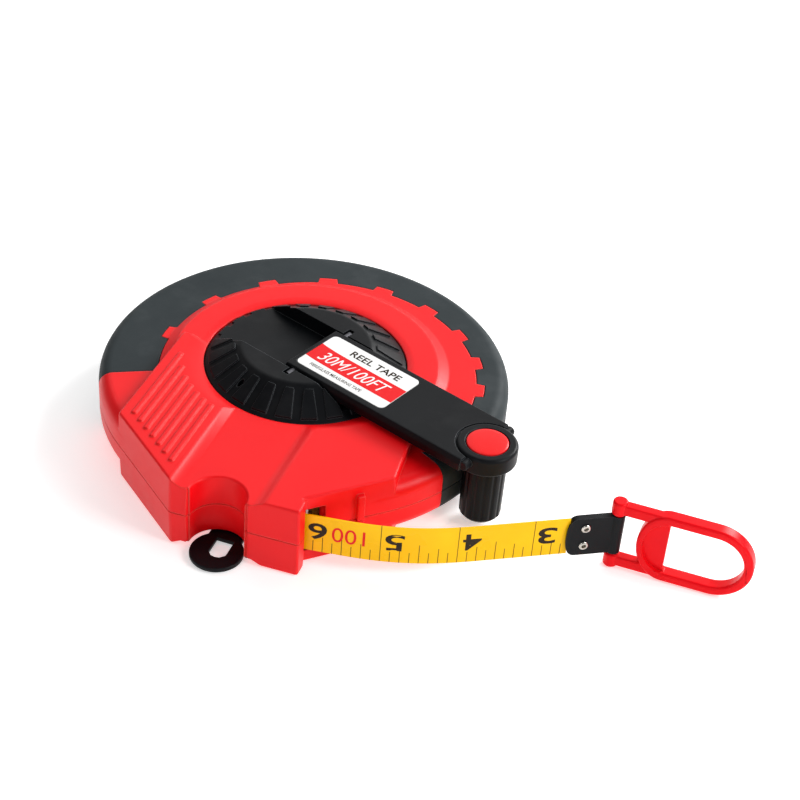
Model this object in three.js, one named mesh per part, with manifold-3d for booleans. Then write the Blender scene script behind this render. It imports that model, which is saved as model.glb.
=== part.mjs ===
// Surveyor tape reel: a closed two-part case, a wound glass-fibre tape, a folding crank and an end ring.
// Millimetres, +Z up. The origin is on the reel's axis in the plane the case lies on, and the hanging
// notch faces -Y. The crank is stowed: its arm lies over the case and its grip hangs beside the rim.
import * as THREE from 'three';
import { mergeVertices } from 'three/addons/utils/BufferGeometryUtils.js';
import Module from 'manifold-3d';

const wasm = await Module();
wasm.setup();

// Tape and winding
const tapeLength = 30000;
const tapeThickness = 0.4;
const tapeWidth = 15;
const stripThickness = 0.5;
const spoolRadius = 19.7;
const woundInner = spoolRadius + 0.3;
const woundOuter = Math.sqrt(woundInner ** 2 + tapeLength * tapeThickness / Math.PI);

// Clearances
const fitGap = 0.3;
const bumperGap = 0.25;
const windingSideGap = 0.35;
const windingRimGap = 4.8;

// Case heights, built outwards from the tape's mid height
const shellSkin = 0.85;
const bumperSkin = 0.9;
const landRise = 3.95;
const roofRise = tapeWidth / 2 + windingSideGap;
const domeRise = roofRise + shellSkin + bumperGap + bumperSkin;
const splitHeight = domeRise + landRise;
const caseHeight = 2 * splitHeight;
const domeTop = splitHeight + domeRise;
const collarDrop = 1.6;
const collarTop = caseHeight - collarDrop;
const valleyDepth = 2.2;

// Case plan sizes
const rimWall = 1.75;
const rimBumper = 1.4;
const caseRadius = woundOuter + windingRimGap + rimWall + bumperGap + rimBumper;
const rimRound = 5;
const openingRadius = 36.3;
const collarRadius = 47.4;
const collarStep = 0.8;
const collarSkirt = 4;
const flangeRadius = 45.5;
const prongReach = 8.7;
const prongFront = caseRadius + prongReach;
const landLeft = 46;
const landRight = 52.4;
const notchRadius = 9.7;
const notchX = 1.4;
const mouthX = 30;
const mouthSetback = 1.4;
const valleyLeft = { top: -15.4, foot: -11.4 };
const valleyRight = { foot: 13.4, top: 17.8 };
const wallThickness = 2;

// Bumpers
const bumperStart = -29;
const bumperEnd = 208.5;
const toothCentre = [5.5, -1.65];
const toothBase = caseRadius - 16.65;
const toothTip = toothBase + 3;
const toothHalfBase = 3.8;
const toothHalfTip = 3.2;
const toothCount = 10;

// Grip ribs on the left land
const ribCount = 7;
const ribPitch = 3.65;
const ribFirstX = -40.6;
const ribWidth = 1.8;
const ribHeight = 0.4;
const ribInset = 4.6;
const ribTopRadius = 44;

// Fasteners, pins and the hanging eye
const screwRadius = 1.2;
const screwHeadRadius = 2.2;
const screwHeadHeight = 1.6;
const bossRadius = 2.6;
const guideRadius = 1.6;
const eyeRadius = 9.1;
const eyeThickness = 1.6;
const eyeSlot = { width: 6, inner: 74.8, outer: 83.8 };
const eyeTailY = 54;

// Spool and crank hub
const spindleRadius = 4.5;
const spoolBore = spindleRadius + fitGap;
const flangeThickness = 1.2;
const hubRadius = openingRadius - 0.5;
const hubTopRadius = 23;
const hubTop = caseHeight + 4.8;
const hubPostRadius = 3;
const hubPostPitch = 12.2;
const hubScrewTurns = [Math.PI / 2, Math.PI * 7 / 6, Math.PI * 11 / 6];

// Crank
const crankAngle = THREE.MathUtils.degToRad(-20.1);
const armHalfWidth = 13;
const armBevel = 0.8;
const armUnder = caseHeight + 0.8;
const armTop = armUnder + 4.6;
const pinX = 6;
const pinHeight = armTop - 1.8;
const pinRadius = 1;
const armTipRadius = 4;
const headRadius = 10.5;
const headUnder = armUnder - 1.9;
const headTop = armTop + 0.5;
const capRadius = 7.1;
const capTop = headTop + 0.5;
const gripRadius = 7.3;
const knobX = caseRadius + gripRadius + fitGap;
const gripFoot = 2.8;
const gripWall = 3.1;
const studRadius = 2.2;
const troughHalf = armHalfWidth + armBevel + 0.5;
const troughFloor = pinHeight - armTipRadius - 0.8;
const labelSize = { from: 4.2, to: 43.6, half: 10.7, thickness: 0.3, corner: 2 };

// Free tape, leader and end ring
const bendX = mouthX - 2.8;
const bendY = -(caseRadius - 0.3);
const exitHeading = THREE.MathUtils.degToRad(8);
const endHeading = THREE.MathUtils.degToRad(30.8);
const curveStart = 7;
const curveEnd = 62;
const freeLength = 105.3;
const leaderLength = 17.3;
const leaderHeight = tapeWidth + 0.8;
const leaderSkin = 0.6;
const stripEnd = 7;
const eyeletX = -11;
const eyeletOffset = 3.7;
const eyeletHole = 1.3;
const ringHeading = 0;
const ringLength = 46.7;
const ringHeight = caseHeight;
const ringRail = 3.3;
const ringDepth = 5;
const ringBar = 1.5;
const ringKnob = 2.6;
const ringArmGap = 18;
const ringWebFrom = 7.5;
const ringWebTo = 17.5;
const ringWebThickness = 1.8;
const ringPlay = 0.3;

const roundSteps = 56;
const smallSteps = 14;

const red = { color: 0xe0161a, roughness: 0.38, metalness: 0 };
const rubber = { color: 0x33383a, roughness: 0.75, metalness: 0 };
const black = { color: 0x17191b, roughness: 0.45, metalness: 0 };
const yellow = { color: 0xf6c400, roughness: 0.3, metalness: 0 };
const leather = { color: 0x15191c, roughness: 0.55, metalness: 0 };
const steel = { color: 0xb4b6b8, roughness: 0.3, metalness: 1 };
const paper = { color: 0xf2f2f0, roughness: 0.4, metalness: 0 };

// Geometry helpers

function toSolid(geometry) {
  const bare = geometry.clone();
  bare.deleteAttribute('normal');
  bare.deleteAttribute('uv');
  const merged = mergeVertices(bare, 1e-4);
  const corners = merged.index.array;
  const triangles = [];
  for (let i = 0; i < corners.length; i += 3) {
    const [a, b, c] = [corners[i], corners[i + 1], corners[i + 2]];
    if (a !== b && b !== c && c !== a) triangles.push(a, b, c);
  }
  return new wasm.Manifold(new wasm.Mesh({
    numProp: 3,
    vertProperties: new Float32Array(merged.attributes.position.array),
    triVerts: new Uint32Array(triangles),
  }));
}

function toGeometry(solid) {
  const mesh = solid.getMesh();
  const geometry = new THREE.BufferGeometry();
  geometry.setAttribute('position', new THREE.BufferAttribute(mesh.vertProperties, 3));
  geometry.setIndex(new THREE.BufferAttribute(mesh.triVerts, 1));
  geometry.computeVertexNormals();
  return geometry;
}

function shapeOf(points) {
  return new THREE.Shape(points.map(([x, y]) => new THREE.Vector2(x, y)));
}

// An outline in plan, extruded upwards from low to high.
function prism(shape, low, high, curveSegments = 12) {
  const outline = Array.isArray(shape) ? shapeOf(shape) : shape;
  const options = { depth: high - low, bevelEnabled: false, curveSegments };
  return toSolid(new THREE.ExtrudeGeometry(outline, options).translate(0, 0, low));
}

// An outline in the XZ plane, extruded along Y between two sides.
function sidePrism(shape, sideLow, sideHigh, curveSegments = 12) {
  const outline = Array.isArray(shape) ? shapeOf(shape) : shape;
  const options = { depth: sideHigh - sideLow, bevelEnabled: false, curveSegments };
  const geometry = new THREE.ExtrudeGeometry(outline, options);
  return toSolid(geometry.rotateX(Math.PI / 2).translate(0, sideHigh, 0));
}

// An outline in the YZ plane, extruded along X between two ends.
function endPrism(points, low, high) {
  const geometry = new THREE.ExtrudeGeometry(shapeOf(points), { depth: high - low, bevelEnabled: false });
  geometry.rotateX(Math.PI / 2).rotateZ(Math.PI / 2);
  return toSolid(geometry.translate(low, 0, 0));
}

// A profile of radius and height, turned about Z, from bottom to top.
function turned(profile, steps = roundSteps) {
  const points = profile.map(([radius, height]) => new THREE.Vector2(radius, height));
  return toSolid(new THREE.LatheGeometry(points, steps).rotateX(Math.PI / 2));
}

function rod(radius, low, high, x = 0, y = 0, steps = smallSteps) {
  const geometry = new THREE.CylinderGeometry(radius, radius, high - low, steps);
  return toSolid(geometry.rotateX(Math.PI / 2).translate(x, y, (low + high) / 2));
}

function crossRod(radius, left, right, x, z, steps = smallSteps) {
  const geometry = new THREE.CylinderGeometry(radius, radius, right - left, steps);
  return toSolid(geometry.translate(x, (left + right) / 2, z));
}

function box(low, high) {
  const size = [0, 1, 2].map((i) => high[i] - low[i]);
  const middle = [0, 1, 2].map((i) => (high[i] + low[i]) / 2);
  return toSolid(new THREE.BoxGeometry(...size).translate(...middle));
}

function joined(solids) {
  return solids.reduce((sum, next) => sum.add(next));
}

function polar(radius, degrees) {
  const angle = THREE.MathUtils.degToRad(degrees);
  return [radius * Math.cos(angle), radius * Math.sin(angle)];
}

function onCircle(radius, x) {
  return -Math.sqrt(radius ** 2 - x ** 2);
}

// Case: the round body's outer profile, from the split to the top, at a depth below the surface

function arcProfile(centreRadius, centreHeight, round, steps) {
  const points = [];
  for (let i = 0; i <= steps; i += 1) {
    const turn = (Math.PI / 2) * i / steps;
    points.push([centreRadius + round * Math.cos(turn), centreHeight + round * Math.sin(turn)]);
  }
  return points;
}

function domeProfile(topDepth, rimDepth) {
  const rimCentre = caseRadius - rimRound;
  const shoulder = arcProfile(rimCentre, domeTop - rimRound, rimRound - rimDepth, 4);
  const top = shoulder.map(([radius, height]) => [radius, Math.min(height, domeTop - topDepth)]);
  return [[0, splitHeight], [caseRadius - rimDepth, splitHeight], ...top];
}

function roundBody(footed) {
  const rim = domeProfile(0, 0);
  const skirt = [[collarRadius + collarSkirt, domeTop], [collarRadius + collarStep, domeTop + 1.6]];
  const ridge = [...skirt, [collarRadius, collarTop], [0, collarTop]];
  const foot = [...skirt, [collarRadius, caseHeight], [0, caseHeight]];
  return [...rim, ...(footed ? foot : ridge)];
}

const frontCorner = [-landLeft, onCircle(caseRadius, landLeft)];
const frontRun = (prongFront + frontCorner[1]) / landLeft;
const prongCorner = [frontCorner[0] - frontCorner[1] * frontRun, -prongFront];
const shoulder = [landRight, onCircle(caseRadius, landRight)];
const recessCorner = [mouthX - mouthSetback, -caseRadius];

function frontOutline() {
  return [
    [-landLeft, -4], frontCorner, prongCorner, [mouthX, -prongFront + 1.6], [mouthX, recessCorner[1] - 1.6],
    recessCorner, shoulder, [collarRadius, -2], [collarRadius - 12, -2], [-landLeft + 12, -4],
  ];
}

const notchCentreY = -(prongFront - 1.1);

function notchCut() {
  const shape = new THREE.Shape();
  shape.moveTo(notchX + notchRadius + 1.4, -prongFront - 5);
  shape.lineTo(notchX + notchRadius, notchCentreY);
  shape.absarc(notchX, notchCentreY, notchRadius, 0, Math.PI, false);
  shape.lineTo(notchX - notchRadius - 1.4, -prongFront - 5);
  return prism(shape, -1, caseHeight + 1, 16);
}

function valleyCut(innerEnd) {
  const top = caseHeight + 1;
  const floor = caseHeight - valleyDepth;
  const slope = (valleyLeft.foot - valleyLeft.top) / valleyDepth;
  const section = [
    [valleyLeft.foot, floor], [valleyRight.foot, floor],
    [valleyRight.top + slope, top], [valleyLeft.top - slope, top],
  ];
  return sidePrism(section, -prongFront - 2, -innerEnd);
}

// The collar slopes down towards the opening on its inner side.
function openingSlope() {
  const low = collarTop - 1.2;
  const top = caseHeight + 1;
  return turned([[0, low], [openingRadius, low], [openingRadius + (top - low) * 2.4, top], [0, top]]);
}

function ribs() {
  const bars = [];
  for (let i = 0; i < ribCount; i += 1) {
    const x = ribFirstX + i * ribPitch;
    const wallY = (caseRadius - ribInset - x * frontCorner[0] / caseRadius) * caseRadius / frontCorner[1];
    const topY = onCircle(ribTopRadius, x);
    const low = [x - ribWidth / 2, wallY, caseHeight - 1];
    bars.push(box(low, [x + ribWidth / 2, topY, caseHeight + ribHeight]));
  }
  return joined(bars);
}

function catchRib() {
  const alongWall = new THREE.Vector2(...shoulder).sub(new THREE.Vector2(...recessCorner)).normalize();
  const outward = new THREE.Vector2(alongWall.y, -alongWall.x);
  const start = new THREE.Vector2(...recessCorner).addScaledVector(alongWall, 18.5);
  const corner = (along, out) => {
    const point = start.clone().addScaledVector(alongWall, along).addScaledVector(outward, out);
    return [point.x, point.y];
  };
  return prism([corner(0, -1), corner(0, 1.7), corner(2.6, 1.7), corner(2.6, -1)], 3.4, caseHeight - 3.4);
}

// Inside the case: room for the winding, a chamber behind each land, and a channel to the mouth

function windingRoom() {
  const roof = splitHeight + roofRise;
  const hubRoof = collarTop - 2.4;
  const inner = caseRadius - rimBumper - bumperGap - rimWall;
  return turned([
    [0, splitHeight], [inner, splitHeight], [inner, domeTop - rimRound],
    [woundOuter + 1.4, roof], [collarRadius + 0.2, roof], [collarRadius - 0.9, hubRoof], [0, hubRoof],
  ]);
}

function chambers() {
  const landRoof = caseHeight - wallThickness;
  const valleyRoof = caseHeight - valleyDepth - wallThickness;
  const front = -prongFront + wallThickness + 0.3;
  const recessIn = recessCorner[0] - 1.6;
  const left = prism([
    [-landLeft + wallThickness, -20], [-landLeft + wallThickness, frontCorner[1] + 0.6],
    [Math.min(prongCorner[0], valleyLeft.top) - 2.2, front + 0.6], [valleyLeft.top - 1, front + 0.6],
    [valleyLeft.top - 1, -20],
  ], splitHeight, landRoof);
  const right = prism([
    [valleyRight.top + 1, -20], [valleyRight.top + 1, front + 1.6], [mouthX - wallThickness, front + 1.6],
    [recessIn, recessCorner[1] + 1.2], [shoulder[0] - 2.6, shoulder[1] + 1], [collarRadius + 1, -20],
  ], splitHeight, landRoof);
  const middle = prism([
    [valleyLeft.top - 2, -20], [valleyLeft.top - 2, front], [valleyRight.top + 2, front + 1.6],
    [valleyRight.top + 2, -20],
  ], splitHeight, valleyRoof);
  const core = rod(collarRadius + 1.6, splitHeight - 1, caseHeight + 1, 0, 0, roundSteps);
  const wallRadius = notchRadius + wallThickness;
  const notchWall = rod(wallRadius, splitHeight - 1, caseHeight + 1, notchX, notchCentreY, 32);
  return left.add(right).add(middle).subtract(core).subtract(notchWall);
}

// The straight run of tape from the winding to the mouth touches this radius.
const runRadius = woundOuter + fitGap + stripThickness / 2;
const bendReach = Math.hypot(bendX, bendY);
const runHeading = Math.atan2(bendX, -bendY) - Math.acos(runRadius / bendReach);
const runLength = Math.sqrt(bendReach ** 2 - runRadius ** 2);

function alongRun(distance, side) {
  return [
    bendX + Math.cos(runHeading) * distance - Math.sin(runHeading) * side,
    bendY + Math.sin(runHeading) * distance + Math.cos(runHeading) * side,
  ];
}

function mouthChannel() {
  const roof = caseHeight - 3.6;
  const channelRoof = caseHeight - valleyDepth - wallThickness;
  const inner = prism([
    alongRun(-runLength + 2, -1.5), alongRun(-5, -1.5), alongRun(-5, 6), alongRun(-runLength + 2, 6),
  ], splitHeight, channelRoof);
  const outer = prism([
    alongRun(-6, -1.5), alongRun(3.6, -1.5), alongRun(3.6, 1), [mouthX + 7, recessCorner[1] + 3],
    [mouthX + 3.4, recessCorner[1] + 6], alongRun(-6, 7),
  ], splitHeight, roof);
  return inner.add(outer);
}

const guideCentre = alongRun(0, stripThickness / 2 + fitGap + guideRadius);
const screwPlaces = [
  [-26, -(caseRadius - 7)], [21, -(caseRadius + 3.2)], polar(caseRadius - 4.6, -44.9),
  polar(caseRadius - 4.6, 35), polar(caseRadius - 4.6, 95), polar(caseRadius - 4.6, 158),
];

function screwPosts() {
  return joined(screwPlaces.map(([x, y]) => (
    rod(bossRadius, splitHeight, y < -landLeft ? caseHeight - 1 : domeTop - 0.6, x, y, 16)
  )));
}

// Bumpers: a toothed ring of soft rubber round the back of the case

// Teeth stand wider apart towards the left. Angles are about the toothed circle's own centre.
function toothAngle(index) {
  return -2.4 + 13.7 * index + 0.665 * index * (index + 1);
}

function ownAngle(degrees) {
  const [x, y] = polar(1, degrees);
  const offset = toothCentre[0] * x + toothCentre[1] * y;
  const reach = offset + Math.sqrt(toothBase ** 2 - toothCentre[0] ** 2 - toothCentre[1] ** 2 + offset ** 2);
  return THREE.MathUtils.radToDeg(Math.atan2(reach * y - toothCentre[1], reach * x - toothCentre[0]));
}

function bumperSector(grow) {
  const points = [];
  const addOuter = (degrees) => points.push(polar(caseRadius + 12, degrees));
  const inset = THREE.MathUtils.radToDeg(grow / caseRadius);
  for (let i = 0; i <= 24; i += 1) {
    addOuter(bumperStart - inset + (bumperEnd - bumperStart + 2 * inset) * i / 24);
  }
  const inner = [];
  const addInner = (radius, degrees) => {
    const [x, y] = polar(radius - grow, degrees);
    inner.push([toothCentre[0] + x, toothCentre[1] + y]);
  };
  const start = ownAngle(bumperStart) - inset;
  const end = ownAngle(bumperEnd) + 360 + inset;
  const span = (from, to, steps) => {
    for (let k = 0; k < steps; k += 1) addInner(toothBase, from + (to - from) * k / steps);
  };
  let from = start;
  for (let i = 0; i < toothCount; i += 1) {
    const middle = toothAngle(i);
    span(from, middle - toothHalfBase, 4);
    addInner(toothBase, middle - toothHalfBase);
    addInner(toothTip, middle - toothHalfTip);
    addInner(toothTip, middle + toothHalfTip);
    from = middle + toothHalfBase;
  }
  span(from, end, 4);
  addInner(toothBase, end);
  return prism([...points, ...inner.reverse()], splitHeight - 1, caseHeight + 2);
}

function bumperBody() {
  const outer = turned([...domeProfile(0, 0), [0, domeTop]]);
  const inner = turned([...domeProfile(bumperSkin, rimBumper), [0, domeTop - bumperSkin]]);
  return outer.subtract(inner).intersect(bumperSector(-0.1));
}

function bumperBed() {
  const outer = turned([...domeProfile(-1, -1), [0, domeTop + 1]]);
  const depth = bumperSkin + bumperGap;
  const inner = turned([...domeProfile(depth, rimBumper + bumperGap), [0, domeTop - depth]]);
  return outer.subtract(inner).intersect(bumperSector(0.15));
}

// Upper half of the case. The lower half is made the same way up and then turned over.
function shellHalf(footed) {
  const raised = prism(frontOutline(), splitHeight, caseHeight);
  let body = turned(roundBody(footed)).add(raised);
  body = body.subtract(windingRoom()).subtract(chambers());
  body = body.add(screwPosts());
  body = body.subtract(mouthChannel()).subtract(notchCut());
  body = body.subtract(valleyCut(footed ? collarRadius : openingRadius - 4));
  body = body.subtract(bumperBed());
  body = body.subtract(rod(guideRadius + fitGap, splitHeight - 1, caseHeight - 1.4, ...guideCentre));
  const trim = box([-200, -200, splitHeight - 1], [200, 200, splitHeight + fitGap / 2]);
  return body.subtract(trim);
}

function topShell() {
  let body = shellHalf(false).subtract(openingSlope());
  body = body.add(ribs()).add(catchRib().intersect(box([0, -200, splitHeight + fitGap / 2], [200, 0, 200])));
  body = body.subtract(rod(openingRadius, splitHeight, caseHeight + 2, 0, 0, roundSteps));
  const pilots = screwPlaces.map(([x, y]) => rod(screwRadius + fitGap, splitHeight - 1, domeTop - 2, x, y));
  return body.subtract(joined(pilots));
}

function turnedOver(solid) {
  return solid.mirror([0, 0, 1]).translate([0, 0, caseHeight]);
}

const floorThickness = 2.2;
const seatRadius = 8;
const seatTop = splitHeight - roofRise - flangeThickness - fitGap;
const eyeTop = valleyDepth - fitGap;

function bottomShell() {
  let body = turnedOver(shellHalf(true));
  body = body.subtract(rod(collarRadius - 4, floorThickness, splitHeight, 0, 0, roundSteps));
  body = body.add(rod(seatRadius, 1, seatTop, 0, 0, 32));
  body = body.subtract(rod(spindleRadius + fitGap, floorThickness, splitHeight, 0, 0, 32));
  body = body.add(catchRib().intersect(box([0, -200, 0], [200, 0, splitHeight - fitGap / 2])));
  for (const [x, y] of screwPlaces) {
    body = body.subtract(rod(screwRadius + fitGap, -1, splitHeight, x, y));
    body = body.subtract(rod(screwHeadRadius + fitGap, -1, headSeat(x, y), x, y));
  }
  return body.subtract(rod(screwRadius + fitGap, 0, 6, ...eyeScrewPlace));
}

// Each screw head sits in a pocket below the surface it enters.
function headSeat(x, y) {
  const onLand = y < -landLeft;
  return (onLand ? 0 : caseHeight - domeTop) + 2.4;
}

function caseScrew(x, y) {
  const seat = headSeat(x, y) - fitGap;
  const low = seat - screwHeadHeight;
  const high = domeTop - 2.6;
  return rod(screwHeadRadius, low, seat, x, y).add(rod(screwRadius, low + 0.5, high, x, y));
}

function bumperTop() {
  return bumperBody().subtract(box([-200, -200, 0], [200, 200, splitHeight + fitGap / 2]));
}

function bumperBottom() {
  let body = turnedOver(bumperTop());
  for (const [x, y] of screwPlaces.slice(3)) {
    body = body.subtract(rod(screwHeadRadius + fitGap, 0, splitHeight, x, y));
  }
  return body;
}

// Hanging eye: a slotted plate in the groove under the case

const eyeScrewPlace = [notchX, -(eyeTailY + 4)];

function hangingEye() {
  const low = eyeTop - eyeThickness;
  const disc = rod(eyeRadius, low, eyeTop, notchX, notchCentreY, 36);
  const tail = box([notchX - 6, notchCentreY, low], [notchX + 6, -eyeTailY, eyeTop]);
  const half = eyeSlot.width / 2;
  const slot = new THREE.Shape();
  const slotX = notchX + 0.6;
  const endY = -eyeSlot.outer + half * 0.7;
  slot.moveTo(slotX - half, -eyeSlot.inner);
  slot.lineTo(slotX - half, endY);
  slot.quadraticCurveTo(slotX, -eyeSlot.outer - half * 0.6, slotX + half, endY);
  slot.lineTo(slotX + half, -eyeSlot.inner);
  const hole = rod(screwRadius + fitGap, -1, 6, ...eyeScrewPlace);
  return disc.add(tail).subtract(prism(slot, -1, 6, 8)).subtract(hole);
}

function eyeScrew() {
  const low = eyeTop - eyeThickness - fitGap;
  const head = rod(1.9, low + 0.1, low + 0.25, ...eyeScrewPlace);
  return head.add(rod(screwRadius, low + 0.1, 5.6, ...eyeScrewPlace));
}

// Spool, spindle and crank hub, all turning about Z

function spool() {
  const low = seatTop + fitGap;
  const plate = low + flangeThickness;
  const top = splitHeight + tapeWidth / 2;
  const webLow = splitHeight - 1;
  const webTop = splitHeight + 1;
  const profile = [
    [spoolBore, low], [flangeRadius, low], [flangeRadius, plate], [spoolRadius, plate], [spoolRadius, top],
    [spoolRadius - 2.7, top], [spoolRadius - 2.7, webTop], [spoolBore + 2.7, webTop], [spoolBore + 2.7, top],
    [spoolBore, top], [spoolBore, low],
  ];
  let body = turned(profile, 48);
  for (const turn of hubScrewTurns) {
    const [x, y] = [hubPostPitch * Math.cos(turn), hubPostPitch * Math.sin(turn)];
    body = body.subtract(rod(screwRadius + fitGap, webLow - 1, webTop + 1, x, y));
    body = body.subtract(rod(screwHeadRadius + 1, low - 1, webLow, x, y));
  }
  return body;
}

function spoolFlange() {
  const low = splitHeight + roofRise;
  const hole = spoolRadius - 3.2;
  return turned([
    [hole, low], [flangeRadius, low], [flangeRadius, low + flangeThickness], [hole, low + flangeThickness],
    [hole, low],
  ], 48);
}

function woundTape() {
  const low = splitHeight - tapeWidth / 2;
  const high = splitHeight + tapeWidth / 2;
  const section = [
    [woundInner, low], [woundOuter, low], [woundOuter, high], [woundInner, high], [woundInner, low],
  ];
  return turned(section, 48);
}

function spindle() {
  return rod(spindleRadius, floorThickness + fitGap, splitHeight + roofRise - 2, 0, 0, 32);
}

function crankHub() {
  const low = splitHeight + roofRise + flangeThickness + fitGap;
  const lip = collarTop - 1.1;
  const disc = turned([
    [0, low], [hubRadius, low], [hubRadius, lip], [hubRadius - 1.2, lip + 0.4],
    [hubTopRadius, hubTop], [0, hubTop],
  ]);
  const places = hubScrewTurns.map((turn) => [hubPostPitch * Math.cos(turn), hubPostPitch * Math.sin(turn)]);
  const posts = places.map((place) => rod(hubPostRadius, splitHeight + 1 + fitGap, low + 1, ...place));
  const pilots = places.map((place) => rod(screwRadius + fitGap, splitHeight, low, ...place));
  const trough = box([-60, -troughHalf, troughFloor], [60, troughHalf, hubTop + 5]);
  const slotReach = troughHalf + 3.6;
  const pinSlot = box([pinX - 1.3, -slotReach, pinHeight], [pinX + 1.3, slotReach, hubTop + 5]);
  const pinSeat = crossRod(pinRadius + fitGap, -slotReach, slotReach, pinX, pinHeight);
  let body = joined([disc, ...posts]).subtract(trough);
  body = body.subtract(pinSlot).subtract(pinSeat);
  return body.subtract(joined(pilots));
}

function hubScrew(turn) {
  const [x, y] = [hubPostPitch * Math.cos(turn), hubPostPitch * Math.sin(turn)];
  const seat = splitHeight - 1 - fitGap;
  const head = rod(screwHeadRadius, seat - screwHeadHeight, seat, x, y);
  return head.add(rod(screwRadius, seat - 1, splitHeight + roofRise, x, y));
}

// Crank, along X from the hinge pin to the knob

function armBlank() {
  const tip = Math.acos((armTop - pinHeight) / armTipRadius);
  const foot = Math.acos((pinHeight - armUnder) / armTipRadius);
  const shape = new THREE.Shape();
  shape.moveTo(knobX - 1, armUnder);
  shape.lineTo(knobX - 1, armTop);
  shape.absarc(pinX, pinHeight, armTipRadius, Math.PI / 2 + tip, Math.PI * 3 / 2 - foot, false);
  const side = sidePrism(shape, -armHalfWidth - armBevel, armHalfWidth + armBevel, 8);
  const wide = armHalfWidth + armBevel;
  const section = endPrism([
    [-wide, armUnder - 1], [wide, armUnder - 1], [wide, armTop - 2], [armHalfWidth, armTop + 0.01],
    [-armHalfWidth, armTop + 0.01], [-wide, armTop - 2],
  ], 0, knobX);
  return side.intersect(section);
}

function crankArm() {
  const head = turned([
    [0, headUnder], [headRadius - 0.6, headUnder], [headRadius, headUnder + 0.8], [headRadius, headTop - 1],
    [headRadius - 0.8, headTop], [0, headTop],
  ], 40).translate([knobX, 0, 0]);
  const lugs = crossRod(1.7, -armHalfWidth - 0.4, armHalfWidth + 0.4, knobX, armTop - 2.2);
  const pocketFloor = armTop - 0.5;
  const gap = fitGap;
  const pocket = box(
    [labelSize.from - gap, -labelSize.half - gap, pocketFloor],
    [labelSize.to + gap, labelSize.half + gap, armTop + 2],
  );
  let body = armBlank().add(lugs).subtract(pocket).add(head);
  body = body.subtract(rod(studRadius + fitGap, headUnder - 1, headTop + 1, knobX, 0, 24));
  const seat = capFloor - fitGap * 2 - studHead;
  body = body.subtract(rod(capRadius + fitGap, seat, headTop + 1, knobX, 0, 36));
  return body.subtract(crossRod(pinRadius + fitGap, -60, 60, pinX, pinHeight));
}

const studHead = 1.1;
const capFloor = headTop - 1.7;

function armPin() {
  const reach = troughHalf + 2.4;
  return crossRod(pinRadius, -reach, reach, pinX, pinHeight);
}

function armLabel() {
  const { from, to, half, thickness, corner } = labelSize;
  const shape = new THREE.Shape();
  shape.moveTo(from + corner, -half);
  shape.lineTo(to - corner, -half);
  shape.quadraticCurveTo(to, -half, to, -half + corner);
  shape.lineTo(to, half - corner);
  shape.quadraticCurveTo(to, half, to - corner, half);
  shape.lineTo(from + corner, half);
  shape.quadraticCurveTo(from, half, from, half - corner);
  shape.lineTo(from, -half + corner);
  shape.quadraticCurveTo(from, -half, from + corner, -half);
  const low = armTop - 0.5 + fitGap;
  return prism(shape, low, low + thickness, 4);
}

function knobCap() {
  const rise = capTop - headTop;
  return turned([
    [0, capFloor], [capRadius, capFloor], [capRadius, headTop - 0.1],
    [capRadius * 0.8, headTop + rise * 0.55],
    [capRadius * 0.5, headTop + rise * 0.85], [0, capTop],
  ], 36).translate([knobX, 0, 0]);
}

function gripStud() {
  const headLow = capFloor - fitGap - studHead;
  const head = rod(4.4, headLow, headLow + studHead, knobX, 0, 24);
  return head.add(rod(studRadius, gripFoot + gripWall + fitGap, headLow + 0.5, knobX, 0, 24));
}

function knobGrip() {
  const top = headUnder - fitGap;
  const body = turned([
    [0, gripFoot], [gripRadius - 1.6, gripFoot], [gripRadius, gripFoot + 2], [gripRadius, top - 0.5],
    [gripRadius - 0.5, top], [0, top],
  ], 32).translate([knobX, 0, 0]);
  return body.subtract(rod(studRadius + fitGap, gripFoot + gripWall, top + 1, knobX, 0, 24));
}

// Free tape: straight from the winding to the mouth, a short bend on the guide pin, then a slow curve

function tapePath() {
  const bendRadius = guideRadius + fitGap + stripThickness / 2;
  const points = [];
  let [x, y] = alongRun(-runLength, 0);
  let heading = runHeading;
  const add = () => points.push({ x, y, heading });
  const advance = (distance) => {
    x += Math.cos(heading) * distance;
    y += Math.sin(heading) * distance;
  };
  add();
  advance(runLength);
  add();
  const bendSteps = 6;
  const bendTurn = exitHeading - runHeading;
  for (let i = 0; i < bendSteps; i += 1) {
    heading += bendTurn / bendSteps / 2;
    advance(2 * bendRadius * Math.sin(bendTurn / bendSteps / 2));
    heading += bendTurn / bendSteps / 2;
    add();
  }
  const step = 2.5;
  const steps = Math.round((freeLength - stripEnd) / step);
  for (let i = 0; i < steps; i += 1) {
    const along = THREE.MathUtils.clamp(((i + 0.5) * step - curveStart) / (curveEnd - curveStart), 0, 1);
    heading = exitHeading + (endHeading - exitHeading) * THREE.MathUtils.smoothstep(along, 0, 1);
    advance((freeLength - stripEnd) / steps);
    add();
  }
  return points;
}

const path = tapePath();
const stripTip = path[path.length - 1];
const ringPivot = [
  stripTip.x + Math.cos(endHeading) * stripEnd,
  stripTip.y + Math.sin(endHeading) * stripEnd,
];

function beside({ x, y, heading }, side) {
  return [x - Math.sin(heading) * side, y + Math.cos(heading) * side];
}

function tapeStrip() {
  const half = stripThickness / 2;
  const outline = [
    ...path.map((point) => beside(point, -half)),
    ...path.map((point) => beside(point, half)).reverse(),
  ];
  const low = splitHeight - tapeWidth / 2;
  const strip = prism(outline, low, low + tapeWidth);
  const turn = THREE.MathUtils.radToDeg(endHeading);
  return strip.subtract(eyeletHoles().rotate([0, 0, turn]).translate([...ringPivot, 0]));
}

function eyeletHoles() {
  const heights = [splitHeight - eyeletOffset, splitHeight + eyeletOffset];
  return joined(heights.map((height) => crossRod(eyeletHole, -3, 3, eyeletX, height)));
}

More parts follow.
